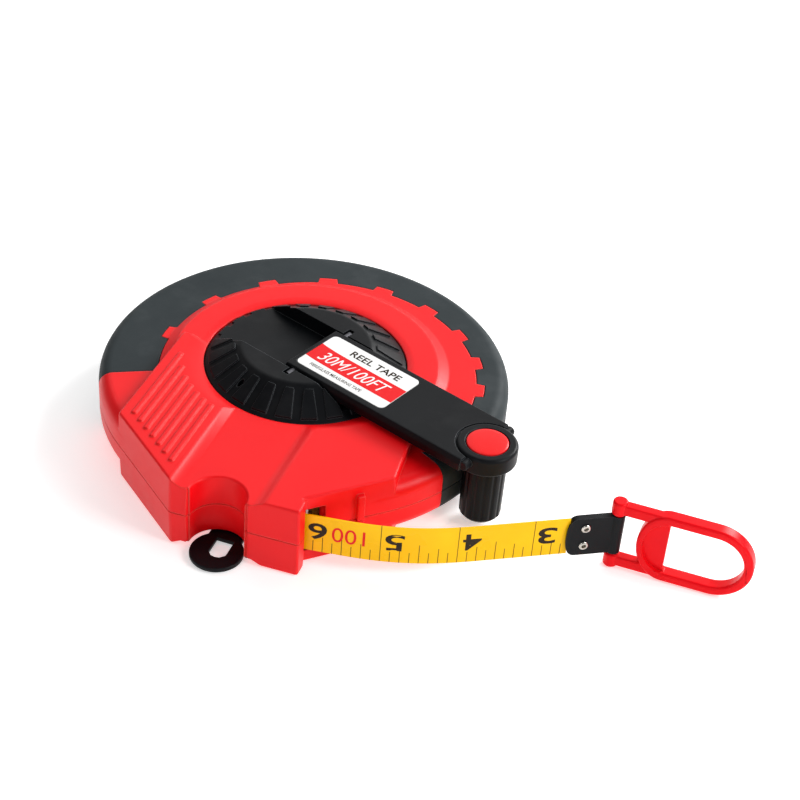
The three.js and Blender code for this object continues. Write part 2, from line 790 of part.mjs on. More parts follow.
const leaderInner = stripThickness / 2 + fitGap;
const leaderOuter = leaderInner + leaderSkin;

function loopOutline(radius, half) {
  const start = Math.PI - Math.asin(half / radius);
  const points = [];
  for (let i = 0; i <= 20; i += 1) {
    const turn = -start + 2 * start * i / 20;
    points.push([radius * Math.cos(turn), radius * Math.sin(turn)]);
  }
  return points;
}

function tapeLeader() {
  const innerRadius = ringBar + ringPlay;
  const outer = loopOutline(innerRadius + leaderSkin, leaderOuter);
  const inner = loopOutline(innerRadius, leaderInner).reverse();
  const outline = [
    [-leaderLength, -leaderOuter], ...outer, [-leaderLength, leaderOuter],
    [-leaderLength, leaderInner], ...inner, [-leaderLength, -leaderInner],
  ];
  const half = leaderHeight / 2;
  const low = splitHeight - half;
  const high = splitHeight + half;
  const silhouette = new THREE.Shape();
  silhouette.moveTo(8, low);
  silhouette.lineTo(8, high);
  silhouette.lineTo(-leaderLength + 3.2, high);
  silhouette.quadraticCurveTo(-leaderLength - 1.2, splitHeight + half * 0.6, -leaderLength, splitHeight);
  silhouette.quadraticCurveTo(-leaderLength - 1.2, splitHeight - half * 0.6, -leaderLength + 3.2, low);
  const rounded = sidePrism(silhouette, -8, 8, 8);
  return prism(outline, low, high).intersect(rounded).subtract(eyeletHoles());
}

function eyelet(side) {
  const z = splitHeight + side * eyeletOffset;
  const flangeLow = leaderOuter + fitGap;
  const flangeHigh = flangeLow + 0.35;
  const profile = [
    [0.6, -flangeHigh], [1.8, -flangeHigh], [1.8, -flangeLow], [1, -flangeLow], [1, flangeLow],
    [1.8, flangeLow], [1.8, flangeHigh], [0.6, flangeHigh], [0.6, -flangeHigh],
  ];
  const barrel = turned(profile, 14).rotate([90, 0, 0]);
  return barrel.translate([eyeletX, 0, z]);
}

function endRing() {
  const middle = splitHeight;
  const round = ringHeight / 2 - 0.2;
  const outer = new THREE.Shape();
  outer.moveTo(ringWebTo, middle - round);
  outer.lineTo(ringLength - round, middle - round);
  outer.absarc(ringLength - round, middle, round, -Math.PI / 2, Math.PI / 2, false);
  outer.lineTo(ringWebTo, middle + round);
  outer.absellipse(ringWebTo, middle, ringWebTo - ringWebFrom, round, Math.PI / 2, Math.PI * 3 / 2, false);
  const innerRound = round - ringRail;
  const loop = new THREE.Shape();
  loop.moveTo(ringWebTo, middle - innerRound);
  loop.lineTo(ringLength - round, middle - innerRound);
  loop.absarc(ringLength - round, middle, innerRound, -Math.PI / 2, Math.PI / 2, false);
  loop.lineTo(ringWebTo, middle + innerRound);
  const half = ringDepth / 2;
  const dish = new THREE.Shape();
  dish.moveTo(ringWebTo + 1, middle - innerRound);
  dish.lineTo(ringWebTo + 1, middle + innerRound);
  dish.lineTo(ringWebTo, middle + innerRound);
  const dishReach = ringWebTo - ringWebFrom - 2;
  dish.absellipse(ringWebTo, middle, dishReach, innerRound, Math.PI / 2, Math.PI * 3 / 2, false);
  let body = sidePrism(outer, -half, half, 14).subtract(sidePrism(loop, -9, 9, 12));
  body = body.subtract(sidePrism(dish, ringWebThickness / 2, 9, 12));
  body = body.subtract(sidePrism(dish, -9, -ringWebThickness / 2, 12));
  const armFoot = ringArmGap / 2;
  for (const side of [-1, 1]) {
    const low = middle + (side > 0 ? armFoot : -armFoot - 4);
    body = body.add(box([0, -1.9, low], [ringWebTo - 4, 1.9, low + 4]));
    const tip = side > 0 ? middle + armFoot - 0.6 : middle - ringHeight / 2;
    const knobTop = side > 0 ? middle + ringHeight / 2 : middle - armFoot + 0.6;
    body = body.add(rod(ringKnob, tip, knobTop, 0, 0, 24));
  }
  return body.add(rod(ringBar, middle - armFoot - 1, middle + armFoot + 1, 0, 0, 20));
}

function guidePin() {
  const reach = 1.4 + fitGap;
  return rod(guideRadius, reach, caseHeight - reach, ...guideCentre);
}

// Assembly

function part(name, solid, finish) {
  const mesh = new THREE.Mesh(toGeometry(solid), new THREE.MeshStandardMaterial(finish));
  mesh.name = name;
  return mesh;
}

const group = new THREE.Group();
group.add(part('top_shell', topShell(), red));
group.add(part('bottom_shell', bottomShell(), red));
group.add(part('top_bumper', bumperTop(), rubber));
group.add(part('bottom_bumper', bumperBottom(), rubber));
screwPlaces.forEach(([x, y], index) => group.add(part(`case_screw_${index + 1}`, caseScrew(x, y), steel)));
group.add(part('guide_pin', guidePin(), steel));
group.add(part('hanging_eye', hangingEye(), black));
group.add(part('eye_screw', eyeScrew(), steel));
group.add(part('spindle', spindle(), steel));

const reel = new THREE.Group();
reel.rotation.z = crankAngle;
reel.add(part('spool', spool(), black));
reel.add(part('spool_flange', spoolFlange(), black));
reel.add(part('wound_tape', woundTape(), yellow));
reel.add(part('crank_hub', crankHub(), black));
hubScrewTurns.forEach((turn, index) => reel.add(part(`hub_screw_${index + 1}`, hubScrew(turn), steel)));
reel.add(part('arm_pin', armPin(), steel));
reel.add(part('crank_arm', crankArm(), black));
reel.add(part('arm_label', armLabel(), paper));
reel.add(part('knob_cap', knobCap(), red));
reel.add(part('grip_stud', gripStud(), steel));
reel.add(part('knob_grip', knobGrip(), black));
group.add(reel);

group.add(part('tape_strip', tapeStrip(), yellow));
const leaderEnd = new THREE.Group();
leaderEnd.position.set(...ringPivot, 0);
leaderEnd.rotation.z = endHeading;
leaderEnd.add(part('tape_leader', tapeLeader(), leather));
leaderEnd.add(part('upper_eyelet', eyelet(1), steel));
leaderEnd.add(part('lower_eyelet', eyelet(-1), steel));
group.add(leaderEnd);

const ringEnd = new THREE.Group();
ringEnd.position.set(...ringPivot, 0);
ringEnd.rotation.z = ringHeading;
ringEnd.add(part('end_ring', endRing(), red));
group.add(ringEnd);

export default group;
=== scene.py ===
import math

import bmesh
import bpy
from mathutils import Matrix, Vector


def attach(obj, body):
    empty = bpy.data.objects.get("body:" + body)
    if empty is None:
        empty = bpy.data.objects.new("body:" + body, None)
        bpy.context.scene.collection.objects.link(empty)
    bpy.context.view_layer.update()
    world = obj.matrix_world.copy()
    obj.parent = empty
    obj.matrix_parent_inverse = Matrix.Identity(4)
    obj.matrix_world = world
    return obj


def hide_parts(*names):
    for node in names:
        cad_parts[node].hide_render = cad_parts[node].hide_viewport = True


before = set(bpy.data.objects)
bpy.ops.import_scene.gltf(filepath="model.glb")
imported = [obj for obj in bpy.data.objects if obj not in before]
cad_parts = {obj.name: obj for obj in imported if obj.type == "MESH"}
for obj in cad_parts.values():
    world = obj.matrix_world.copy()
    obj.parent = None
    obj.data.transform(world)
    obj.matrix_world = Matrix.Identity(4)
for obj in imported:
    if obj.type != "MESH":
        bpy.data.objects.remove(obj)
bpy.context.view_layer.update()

scene = bpy.context.scene

# ---- camera, floor and light

viewPoint = {"bearing": 16.5, "tilt": 37.265, "distance": 0.6456, "target": (0.0342, 0.0063, 0.014), "roll": 4.79,
             "lens": 81.0, "sensor": 36.0}


def addObject(name, data):
    made = bpy.data.objects.new(name, data)
    scene.collection.objects.link(made)
    return made


def asObject(bm, name):
    mesh = bpy.data.meshes.new(name)
    bm.to_mesh(mesh)
    bm.free()
    return addObject(name, mesh)


def placeCamera(v):
    bearing, tilt = math.radians(v["bearing"]), math.radians(v["tilt"])
    back = Vector((math.sin(bearing) * math.cos(tilt), -math.cos(bearing) * math.cos(tilt), math.sin(tilt)))
    camera = addObject("camera", bpy.data.cameras.new("camera"))
    camera.data.lens = v["lens"]
    camera.data.sensor_width = v["sensor"]
    camera.data.clip_start = 0.01
    turn = back.to_track_quat("Z", "Y").to_matrix() @ Matrix.Rotation(math.radians(v["roll"]), 3, "Z")
    camera.matrix_world = Matrix.Translation(Vector(v["target"]) + back * v["distance"]) @ turn.to_4x4()
    scene.camera = camera


placeCamera(viewPoint)

studio = {"floor": 4.0, "floorLevel": -0.0003, "floorTint": (0.93, 0.93, 0.93), "floorGlow": 0.46, "sky": 0.27,
          "softboxes": [("backBox", (-0.2, 0.85, 0.75), (0.02, 0.0, 0.0), 1.6, 7.0),
                        ("sideBox", (0.48, 0.85, 0.6), (0.02, -0.02, 0.0), 0.35, 11.0),
                        ("rightBox", (0.9, -0.1, 0.6), (0.0, -0.02, 0.01), 0.4, 6.0),
                        ("frontBox", (-0.15, -0.95, 0.5), (0.02, -0.02, 0.01), 0.3, 1.2)]}


def addSoftbox(name, place, aim, size, power):
    light = bpy.data.lights.new(name, "AREA")
    light.shape = "SQUARE"
    light.size = size
    light.energy = power
    holder = addObject(name, light)
    holder.location = place
    holder.rotation_mode = "QUATERNION"
    holder.rotation_quaternion = (Vector(place) - Vector(aim)).to_track_quat("Z", "Y")


# ---- shared node groups


def newGroup(name, inputs, outputs):
    group = bpy.data.node_groups.new(name, "ShaderNodeTree")
    for label, kind, value in inputs:
        socket = group.interface.new_socket(label, in_out="INPUT", socket_type="NodeSocket" + kind)
        socket.default_value = value
    for label, kind in outputs:
        group.interface.new_socket(label, in_out="OUTPUT", socket_type="NodeSocket" + kind)
    return group, group.nodes.new("NodeGroupInput"), group.nodes.new("NodeGroupOutput")


def give(tree, socket, value):
    # Sets a socket to a value, or links it to another node's output.
    if isinstance(value, bpy.types.NodeSocket):
        tree.links.new(value, socket)
    else:
        socket.default_value = value


def fill(tree, node, **values):
    for key, value in values.items():
        give(tree, node.inputs[key.replace("_", " ")], value)
    return node


def addNode(tree, kind, settings=None, **values):
    node = tree.nodes.new("ShaderNode" + kind)
    for key, value in (settings or {}).items():
        setattr(node, key, value)
    return fill(tree, node, **values)


def mathOf(tree, operation, *values):
    node = addNode(tree, "Math", {"operation": operation})
    for socket, value in zip(node.inputs, values):
        give(tree, socket, value)
    return node.outputs[0]


def remap(tree, value, fromLow, fromHigh, toLow=0.0, toHigh=1.0):
    return addNode(tree, "MapRange", Value=value, From_Min=fromLow, From_Max=fromHigh, To_Min=toLow,
                   To_Max=toHigh).outputs["Result"]


def noiseOf(tree, vector, scale, detail=3.0, roughness=0.5):
    return addNode(tree, "TexNoise", Vector=vector, Scale=scale, Detail=detail, Roughness=roughness).outputs["Fac"]


def ownPlace(tree):
    return addNode(tree, "TexCoord").outputs["Object"]


def partsOf(tree, vector):
    return addNode(tree, "SeparateXYZ", Vector=vector).outputs


def buildMouldedSkin():
    # Fine spark-eroded grain, slow tone drift and softly rounded edges for moulded parts; the Edge output masks a
    # painted highlight along the rounded edges.
    tree, given, made = newGroup("mouldedSkin",
        [("Grain Scale", "Float", 2600.0), ("Grain Depth", "Float", 0.00002), ("Rough Low", "Float", 0.3),
         ("Rough High", "Float", 0.45), ("Edge Radius", "Float", 0.0003)],
        [("Normal", "Vector"), ("Roughness", "Float"), ("Tone", "Float"), ("Edge", "Float")])
    place = ownPlace(tree)
    grain = noiseOf(tree, place, given.outputs["Grain Scale"], 2.0)
    drift = noiseOf(tree, place, 38.0, 3.0)
    smear = noiseOf(tree, place, 160.0, 4.0, 0.6)
    rounded = addNode(tree, "Bevel", {"samples": 4}, Radius=given.outputs["Edge Radius"]).outputs["Normal"]
    bump = addNode(tree, "Bump", Strength=0.55, Distance=given.outputs["Grain Depth"], Height=grain, Normal=rounded)
    facing = addNode(tree, "VectorMath", {"operation": "DOT_PRODUCT"})
    give(tree, facing.inputs[0], rounded)
    give(tree, facing.inputs[1], addNode(tree, "NewGeometry").outputs["Normal"])
    mixed = mathOf(tree, "ADD", mathOf(tree, "MULTIPLY", drift, 0.5), mathOf(tree, "MULTIPLY", smear, 0.5))
    rough = remap(tree, mixed, 0.32, 0.68, given.outputs["Rough Low"], given.outputs["Rough High"])
    fill(tree, made, Normal=bump.outputs["Normal"], Roughness=rough, Tone=drift,
         Edge=remap(tree, facing.outputs["Value"], 0.995, 0.8))
    return tree


def buildDust():
    # Sparse pale specks and smudges that settle on faces turned up.
    tree, given, made = newGroup("settledDust", [("Speck Scale", "Float", 900.0), ("Amount", "Float", 0.5)],
                                 [("Mask", "Float")])
    place = ownPlace(tree)
    cells = addNode(tree, "TexVoronoi", {"feature": "F1"}, Randomness=1.0, Scale=given.outputs["Speck Scale"],
                    Vector=place)
    specks = remap(tree, cells.outputs["Distance"], 0.1, 0.0)
    patches = remap(tree, noiseOf(tree, place, 55.0, 4.0, 0.65), 0.5, 0.75)
    film = mathOf(tree, "MULTIPLY", patches, 0.2)
    both = mathOf(tree, "MAXIMUM", mathOf(tree, "MULTIPLY", specks, patches), film)
    up = partsOf(tree, addNode(tree, "NewGeometry").outputs["Normal"])
    raised = remap(tree, up["Z"], 0.2, 0.9, 0.15, 1.0)
    fill(tree, made, Mask=mathOf(tree, "MULTIPLY", mathOf(tree, "MULTIPLY", both, raised), given.outputs["Amount"]))
    return tree


mouldedSkin = buildMouldedSkin()
settledDust = buildDust()


def startMaterial(name, **values):
    material = bpy.data.materials.new(name)
    material.use_nodes = True
    tree = material.node_tree
    return material, tree, fill(tree, tree.nodes["Principled BSDF"], **values)


def buildStudio(s):
    ground = bmesh.new()
    bmesh.ops.create_grid(ground, x_segments=1, y_segments=1, size=s["floor"],
                          matrix=Matrix.Translation((0, 0, s["floorLevel"])))
    floor = asObject(ground, "floor")
    paper = startMaterial("floorPaper", Base_Color=(*s["floorTint"], 1), Roughness=0.9, Specular_IOR_Level=0.1,
                          Emission_Color=(1, 1, 1, 1), Emission_Strength=s["floorGlow"])[0]
    floor.data.materials.append(paper)
    sky = bpy.data.worlds.new("studioSky")
    sky.use_nodes = True
    fill(sky.node_tree, sky.node_tree.nodes["Background"], Color=(1, 1, 1, 1), Strength=s["sky"])
    scene.world = sky
    for box in s["softboxes"]:
        addSoftbox(*box)
    scene.view_settings.view_transform = "Standard"


buildStudio(studio)
print("camera and studio ready")


def placeGroup(tree, group, **values):
    node = tree.nodes.new("ShaderNodeGroup")
    node.node_tree = group
    return fill(tree, node, **values)


def mixColor(tree, factor, a, b):
    node = addNode(tree, "Mix", {"data_type": "RGBA"})
    for index, value in ((0, factor), (6, a), (7, b)):
        give(tree, node.inputs[index], (*value, 1) if isinstance(value, tuple) else value)
    return node.outputs[2]


def mouldedPlastic(name, deep, pale, edgeHighlightTint, rough=(0.3, 0.42), grain=0.00002, dust=0.0, dustTint=(0.3, 0.3, 0.3),
                   edgeRadius=0.0003, edgeHighlightGain=0.5, shine=0.14):
    material, tree, shader = startMaterial(name, Specular_IOR_Level=shine)
    skin = placeGroup(tree, mouldedSkin, Grain_Depth=grain, Rough_Low=rough[0], Rough_High=rough[1],
                      Edge_Radius=edgeRadius)
    color = mixColor(tree, remap(tree, skin.outputs["Tone"], 0.3, 0.7), deep, pale)
    # Painted highlight: rounded edges are lightened towards the edge highlight tint.
    color = mixColor(tree, mathOf(tree, "MULTIPLY", skin.outputs["Edge"], edgeHighlightGain), color, edgeHighlightTint)
    if dust:
        specks = placeGroup(tree, settledDust, Amount=dust)
        color = mixColor(tree, specks.outputs["Mask"], color, dustTint)
    fill(tree, shader, Base_Color=color, Roughness=skin.outputs["Roughness"], Normal=skin.outputs["Normal"])
    return material


redCase = mouldedPlastic("redCase", (0.82, 0.002, 0.006), (0.88, 0.005, 0.008), (1.0, 0.14, 0.11),
                         rough=(0.3, 0.42), edgeHighlightGain=0.55, edgeRadius=0.0006, shine=0.2)
redGloss = mouldedPlastic("redGloss", (0.82, 0.002, 0.008), (0.88, 0.005, 0.010), (1.0, 0.12, 0.10),
                          rough=(0.26, 0.36), grain=0.00001, edgeHighlightGain=0.2, shine=0.1)
greyRubber = mouldedPlastic("greyRubber", (0.020, 0.027, 0.030), (0.030, 0.038, 0.041), (0.10, 0.11, 0.115),
                            rough=(0.5, 0.66), grain=0.00005, dust=0.45, dustTint=(0.16, 0.17, 0.18))
blackSatin = mouldedPlastic("blackSatin", (0.0015, 0.002, 0.003), (0.004, 0.005, 0.0065), (0.11, 0.12, 0.13),
                            rough=(0.36, 0.5), grain=0.00003, dust=0.22, dustTint=(0.16, 0.16, 0.16),
                            edgeHighlightGain=0.7, edgeRadius=0.00035, shine=0.13)
blackGrip = mouldedPlastic("blackGrip", (0.0012, 0.0015, 0.002), (0.003, 0.0034, 0.004), (0.06, 0.062, 0.065),
                           rough=(0.3, 0.4), grain=0.00002, shine=0.1)
print("plastics ready")


def buildMetal(name, tint, rough, lay):
    material, tree, shader = startMaterial(name, Metallic=1.0)
    place = ownPlace(tree)
    lines = noiseOf(tree, addNode(tree, "Mapping", Vector=place, Scale=lay).outputs["Vector"], 900.0, 4.0, 0.6)
    wear = remap(tree, noiseOf(tree, place, 240.0, 3.0), 0.35, 0.7)
    fill(tree, shader, Base_Color=mixColor(tree, wear, tint, tuple(v * 0.72 for v in tint)),
         Roughness=remap(tree, lines, 0.3, 0.7, rough * 0.7, rough * 1.4),
         Normal=addNode(tree, "Bump", Strength=0.25, Distance=0.00002, Height=lines).outputs["Normal"])
    return material


zincSteel = buildMetal("zincSteel", (0.56, 0.57, 0.58), 0.32, (1.0, 1.0, 0.15))
darkSteel = buildMetal("darkSteel", (0.10, 0.10, 0.11), 0.4, (1.0, 1.0, 0.15))
nickel = buildMetal("nickel", (0.62, 0.59, 0.54), 0.24, (1.0, 1.0, 1.0))


def buildWoundEdge():
    # Edge-on turns of the wound tape: fine concentric lines.
    material, tree, shader = startMaterial("woundEdge", Roughness=0.45)
    x, y, z = partsOf(tree, ownPlace(tree))
    radius = mathOf(tree, "SQRT", mathOf(tree, "ADD", mathOf(tree, "MULTIPLY", x, x), mathOf(tree, "MULTIPLY", y, y)))
    turns = mathOf(tree, "FRACT", mathOf(tree, "DIVIDE", radius, 0.0004))
    gap = mathOf(tree, "LESS_THAN", turns, 0.25)
    fill(tree, shader, Base_Color=mixColor(tree, gap, (0.85, 0.56, 0.02), (0.35, 0.20, 0.01)))
    return material


woundEdge = buildWoundEdge()


def dress(nodeName, material):
    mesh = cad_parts[nodeName].data
    mesh.materials.clear()
    mesh.materials.append(material)


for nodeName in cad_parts:
    if "screw" in nodeName or nodeName in ("guide_pin", "spindle", "grip_stud"):
        dress(nodeName, zincSteel)
dress("arm_pin", darkSteel)
dress("wound_tape", woundEdge)
for nodeName in ("spool", "spool_flange"):
    dress(nodeName, blackSatin)

# ---- modelling helpers: sizes are in millimetres and become metres when a piece is finished

toMetres = 0.001


def faceOut(bm):
    bmesh.ops.recalc_face_normals(bm, faces=bm.faces[:])
    return bm


def raiseFaces(bm, faces, height, keep=False):
    raised = bmesh.ops.extrude_face_region(bm, geom=faces, use_keep_orig=keep)
    bmesh.ops.translate(bm, verts=[v for v in raised["geom"] if isinstance(v, bmesh.types.BMVert)],
                        vec=(0, 0, height))
    return faceOut(bm)


def pillar(points, low, high):
    bm = bmesh.new()
    base = bm.faces.new([bm.verts.new((x, y, low)) for x, y in points])
    return raiseFaces(bm, [base], high - low)


def lathe(profile, steps, closed=False):
    bm = bmesh.new()
    rail = [bm.verts.new((radius, 0, height)) for radius, height in profile]
    edges = [bm.edges.new(pair) for pair in zip(rail, rail[1:])]
    if closed:
        edges.append(bm.edges.new((rail[-1], rail[0])))
    bmesh.ops.spin(bm, geom=rail + edges, cent=(0, 0, 0), axis=(0, 0, 1), angle=math.tau, steps=steps, use_merge=True)
    bmesh.ops.remove_doubles(bm, verts=bm.verts[:], dist=0.0005)
    return faceOut(bm)


def rodOf(radius, low, high, x=0.0, y=0.0, steps=48):
    bm = bmesh.new()
    bmesh.ops.create_cone(bm, cap_ends=True, segments=steps, radius1=radius, radius2=radius, depth=high - low,
                          matrix=Matrix.Translation((x, y, (low + high) / 2)))
    return bm


def loft(levels):
    # Joins matching outlines, one above another, into a closed body.
    bm = bmesh.new()
    rings = [[bm.verts.new(point) for point in level] for level in levels]
    for low, high in zip(rings, rings[1:]):
        for i in range(len(low)):
            k = (i + 1) % len(low)
            bm.faces.new((low[i], low[k], high[k], high[i]))
    bm.faces.new(rings[0])
    bm.faces.new(rings[-1])
    return faceOut(bm)


def slab(low, high):
    bm = bmesh.new()
    size = [b - a for a, b in zip(low, high)]
    middle = [(a + b) / 2 for a, b in zip(low, high)]
    bmesh.ops.create_cube(bm, size=1.0, matrix=Matrix.Translation(middle) @ Matrix.Diagonal((*size, 1)))
    return bm


def turnBm(bm, matrix):
    bmesh.ops.transform(bm, matrix=matrix, verts=bm.verts[:])
    if matrix.to_3x3().determinant() < 0:
        bmesh.ops.reverse_faces(bm, faces=bm.faces[:])
    return bm


def standUp(bm):
    # Turns a pillar so that its outline's second axis is Z and its height runs along -Y.
    return turnBm(bm, Matrix(((1, 0, 0, 0), (0, 0, -1, 0), (0, 1, 0, 0), (0, 0, 0, 1))))


def madeMesh(holder):
    # What an object's modifiers or lettering make, as a new mesh.
    graph = bpy.context.evaluated_depsgraph_get()
    return bpy.data.meshes.new_from_object(holder.evaluated_get(graph))


less, plus, within = "DIFFERENCE", "UNION", "INTERSECT"


def combine(bm, *steps):
    # Steps are pairs of an operation and another bmesh, worked in order.
    body = asObject(bm, "work")
    tools = []
    for operation, other in steps:
        tool = asObject(other, "tool")
        tool.hide_render = True
        tools.append(tool)
        cut = body.modifiers.new("cut", "BOOLEAN")
        cut.operation = operation
        cut.object = tool
        cut.solver = "MANIFOLD"
        mesh = madeMesh(body)
        body.modifiers.clear()
        body.data = mesh
    result = bmesh.new()
    result.from_mesh(body.data)
    for thing in (body, *tools):
        bpy.data.objects.remove(thing)
    return result


def tidy(bm, gap=0.01):
    bmesh.ops.remove_doubles(bm, verts=bm.verts[:], dist=gap)
    bmesh.ops.dissolve_degenerate(bm, edges=bm.edges[:], dist=gap)
    bmesh.ops.dissolve_limit(bm, angle_limit=math.radians(0.4), verts=bm.verts[:], edges=bm.edges[:])
    return bm


def soften(bm, width, segments=2, least=24.0, most=181.0, chosen=None):
    edges = [e for e in bm.edges if len(e.link_faces) == 2
             and least < math.degrees(e.calc_face_angle(0.0)) < most and (chosen is None or chosen(e))]
    bmesh.ops.bevel(bm, geom=edges, offset=width, offset_type="OFFSET", segments=segments, profile=0.5,
                    affect="EDGES", material=-1, clamp_overlap=False, loop_slide=True)
    return bm


def finishPiece(bm, name, body, material, replaced=(), crease=32.0, weighted=True):
    turnBm(bm, Matrix.Scale(toMetres, 4))
    for face in bm.faces:
        face.smooth = True
    for edge in bm.edges:
        if len(edge.link_faces) == 2:
            edge.smooth = math.degrees(edge.calc_face_angle(0.0)) < crease
    piece = asObject(bm, name)
    piece.data.materials.append(material)
    if weighted:
        even = piece.modifiers.new("evenShading", "WEIGHTED_NORMAL")
        even.keep_sharp = True
    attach(piece, body)
    if replaced:
        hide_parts(*replaced)
    print("made", name, len(piece.data.polygons))
    return piece


def cosOf(degrees):
    return math.cos(math.radians(degrees))


def sinOf(degrees):
    return math.sin(math.radians(degrees))


def polar(radius, degrees):
    return radius * cosOf(degrees), radius * sinOf(degrees)


def arcOf(centre, radius, start, end, steps):
    return [(centre[0] + radius * cosOf(start + (end - start) * i / steps),
             centre[1] + radius * sinOf(start + (end - start) * i / steps)) for i in range(steps + 1)]


# ---- case

case = {
    "radius": 73.159, "height": 27.6, "domeTop": 23.65, "rimRound": 5.0, "bumperSkin": 0.9, "rimBumper": 1.4,
    "bumperGap": 0.25, "seam": 0.3, "collarRadius": 47.4, "collarTop": 26.0, "collarStep": 0.8, "collarSkirt": 4.0,
    "opening": 36.3, "openingLow": 24.8, "openingSlope": 2.4, "landLeft": 46.0, "landRight": 52.4,
    "prongFront": 81.859, "mouthX": 30.0, "mouthSetback": 1.4, "notch": (1.4, -80.759), "notchRadius": 9.7,
    "lipRound": 1.4, "lipGap": 0.5, "lipFaces": (-81.0, -81.85),
    "valleyLeft": (-15.4, -11.4), "valleyRight": (13.4, 17.8), "valleyDepth": 2.2, "draft": 0.45, "edgeRound": 0.85,
    "woundOuter": 64.96, "steps": 160,
}
rim, lid, crown, split = case["radius"], case["height"], case["domeTop"], case["height"] / 2
mouthX, prongFront, facets, valleyDepth = case["mouthX"], case["prongFront"], case["steps"], case["valleyDepth"]
seamLow = split + case["seam"] / 2
collar = case["collarRadius"]
frontCorner = (-case["landLeft"], -math.sqrt(rim ** 2 - case["landLeft"] ** 2))
prongCorner = (frontCorner[0] - frontCorner[1] * (prongFront + frontCorner[1]) / case["landLeft"], -prongFront)
shoulder = (case["landRight"], -math.sqrt(rim ** 2 - case["landRight"] ** 2))
recessCorner = (mouthX - case["mouthSetback"], -rim)


def domeRail(topDepth, rimDepth, steps=8):
    centre = rim - case["rimRound"]
    rail = arcOf((centre, crown - case["rimRound"]), case["rimRound"] - rimDepth, 0, 90, steps)
    return [(rim - rimDepth, split)] + [(r, min(z, crown - topDepth)) for r, z in rail]


def roundBlank(footed):
    height = lid if footed else case["collarTop"]
    step = crown + 1.6
    rail = [(0, split), *domeRail(0, 0), (collar + case["collarSkirt"] + 0.5, crown),
            (collar + case["collarSkirt"] - 0.4, crown + 0.25), (collar + case["collarStep"], step),
            (collar + 0.3, height - 0.35), (collar - 0.15, height - 0.08), (collar - 0.9, height), (0, height)]
    return lathe(rail, facets)


def frontBlank():
    outline = [(-case["landLeft"], -4), frontCorner, prongCorner, (mouthX, -prongFront + 1.6),
               (mouthX, recessCorner[1] - 1.6), recessCorner, shoulder, (collar, -2),
               (collar - 12, -2), (-case["landLeft"] + 12, -4)]
    bm = pillar(outline, split, lid)
    middle = Vector((0, -36, 0))
    for v in bm.verts:
        if v.co.z > split + 1:
            away = v.co - middle
            away.z = 0
            v.co -= away.normalized() * case["draft"]
    return soften(bm, case["edgeRound"], 4, 20, 181, lambda e: max(v.co.z for v in e.verts) > split + 1)


def valleyTool(innerEnd):
    # A shallow groove whose bevels roll over into the land on each side.
    left, right = case["valleyLeft"], case["valleyRight"]
    floor, top = lid - valleyDepth, lid
    section = [(left[1], floor), (right[0], floor)]
    for foot, brow in (right, left[::-1]):
        rise = (top - floor) / math.hypot(brow - foot, top - floor)
        run = (brow - foot) / math.hypot(brow - foot, top - floor)
        start = (brow - run * 0.9, top - rise * 0.9)
        end = (brow + math.copysign(0.9, run), top)
        roll = []
        for i in range(6):
            t = i / 5
            roll.append(((1 - t) ** 2 * start[0] + 2 * t * (1 - t) * brow + t * t * end[0],
                         (1 - t) ** 2 * start[1] + 2 * t * (1 - t) * top + t * t * end[1]))
        roll.append((end[0], top + 2))
        section += roll if foot > 0 else roll[::-1]
    return standUp(pillar(section, innerEnd, prongFront + 2))


def notchOutline(grow):
    x, y = case["notch"]
    radius = case["notchRadius"] + grow
    lips = []
    for side, face in zip((1, -1), case["lipFaces"]):
        lip = [(x + side * (radius + case["lipGap"] + case["lipRound"] * (1 - cosOf(a))),
                face + case["lipRound"] * (1 - sinOf(a))) for a in range(0, 91, 15)]
        lip.append((x + side * (radius + case["lipGap"] + case["lipRound"] + 0.05), -prongFront - 4))
        lips.append(lip)
    return lips[0][::-1] + arcOf((x, y), radius, 0, 180, 32) + lips[1]


def notchTool():
    # A stack of outlines that widens into a quarter round at the top edge.
    top, roll = lid - valleyDepth, case["edgeRound"]
    levels = [(-1, 0)]
    for a in (0, 20, 40, 60, 80, 90):
        turn = math.radians(a)
        levels.append((top - roll + roll * math.sin(turn), roll * (1 - math.cos(turn))))
    levels.append((lid + 1, roll))
    return loft([[(x, y, z) for x, y in notchOutline(grow)] for z, grow in levels])


def openingTool():
    low, top = case["openingLow"], lid + 1
    wide = case["opening"] + (top - low) * case["openingSlope"]
    return lathe([(0, low), (case["opening"], low), (wide, top), (0, top)], facets)


def windingTool(hubRoof):
    roof = split + 7.85
    inner = rim - case["rimBumper"] - case["bumperGap"] - 1.75
    rail = [(0, split - 1), (inner, split - 1), (inner, crown - case["rimRound"]),
            (case["woundOuter"] + 1.4, roof), (collar + 0.2, roof), (collar - 0.9, hubRoof), (0, hubRoof)]
    return lathe(rail, facets // 2)


chamber = {"wall": 2.0, "frontWall": 2.3, "leftWall": 3.7, "left": -42.0, "back": -20.0, "collarWall": 1.6}


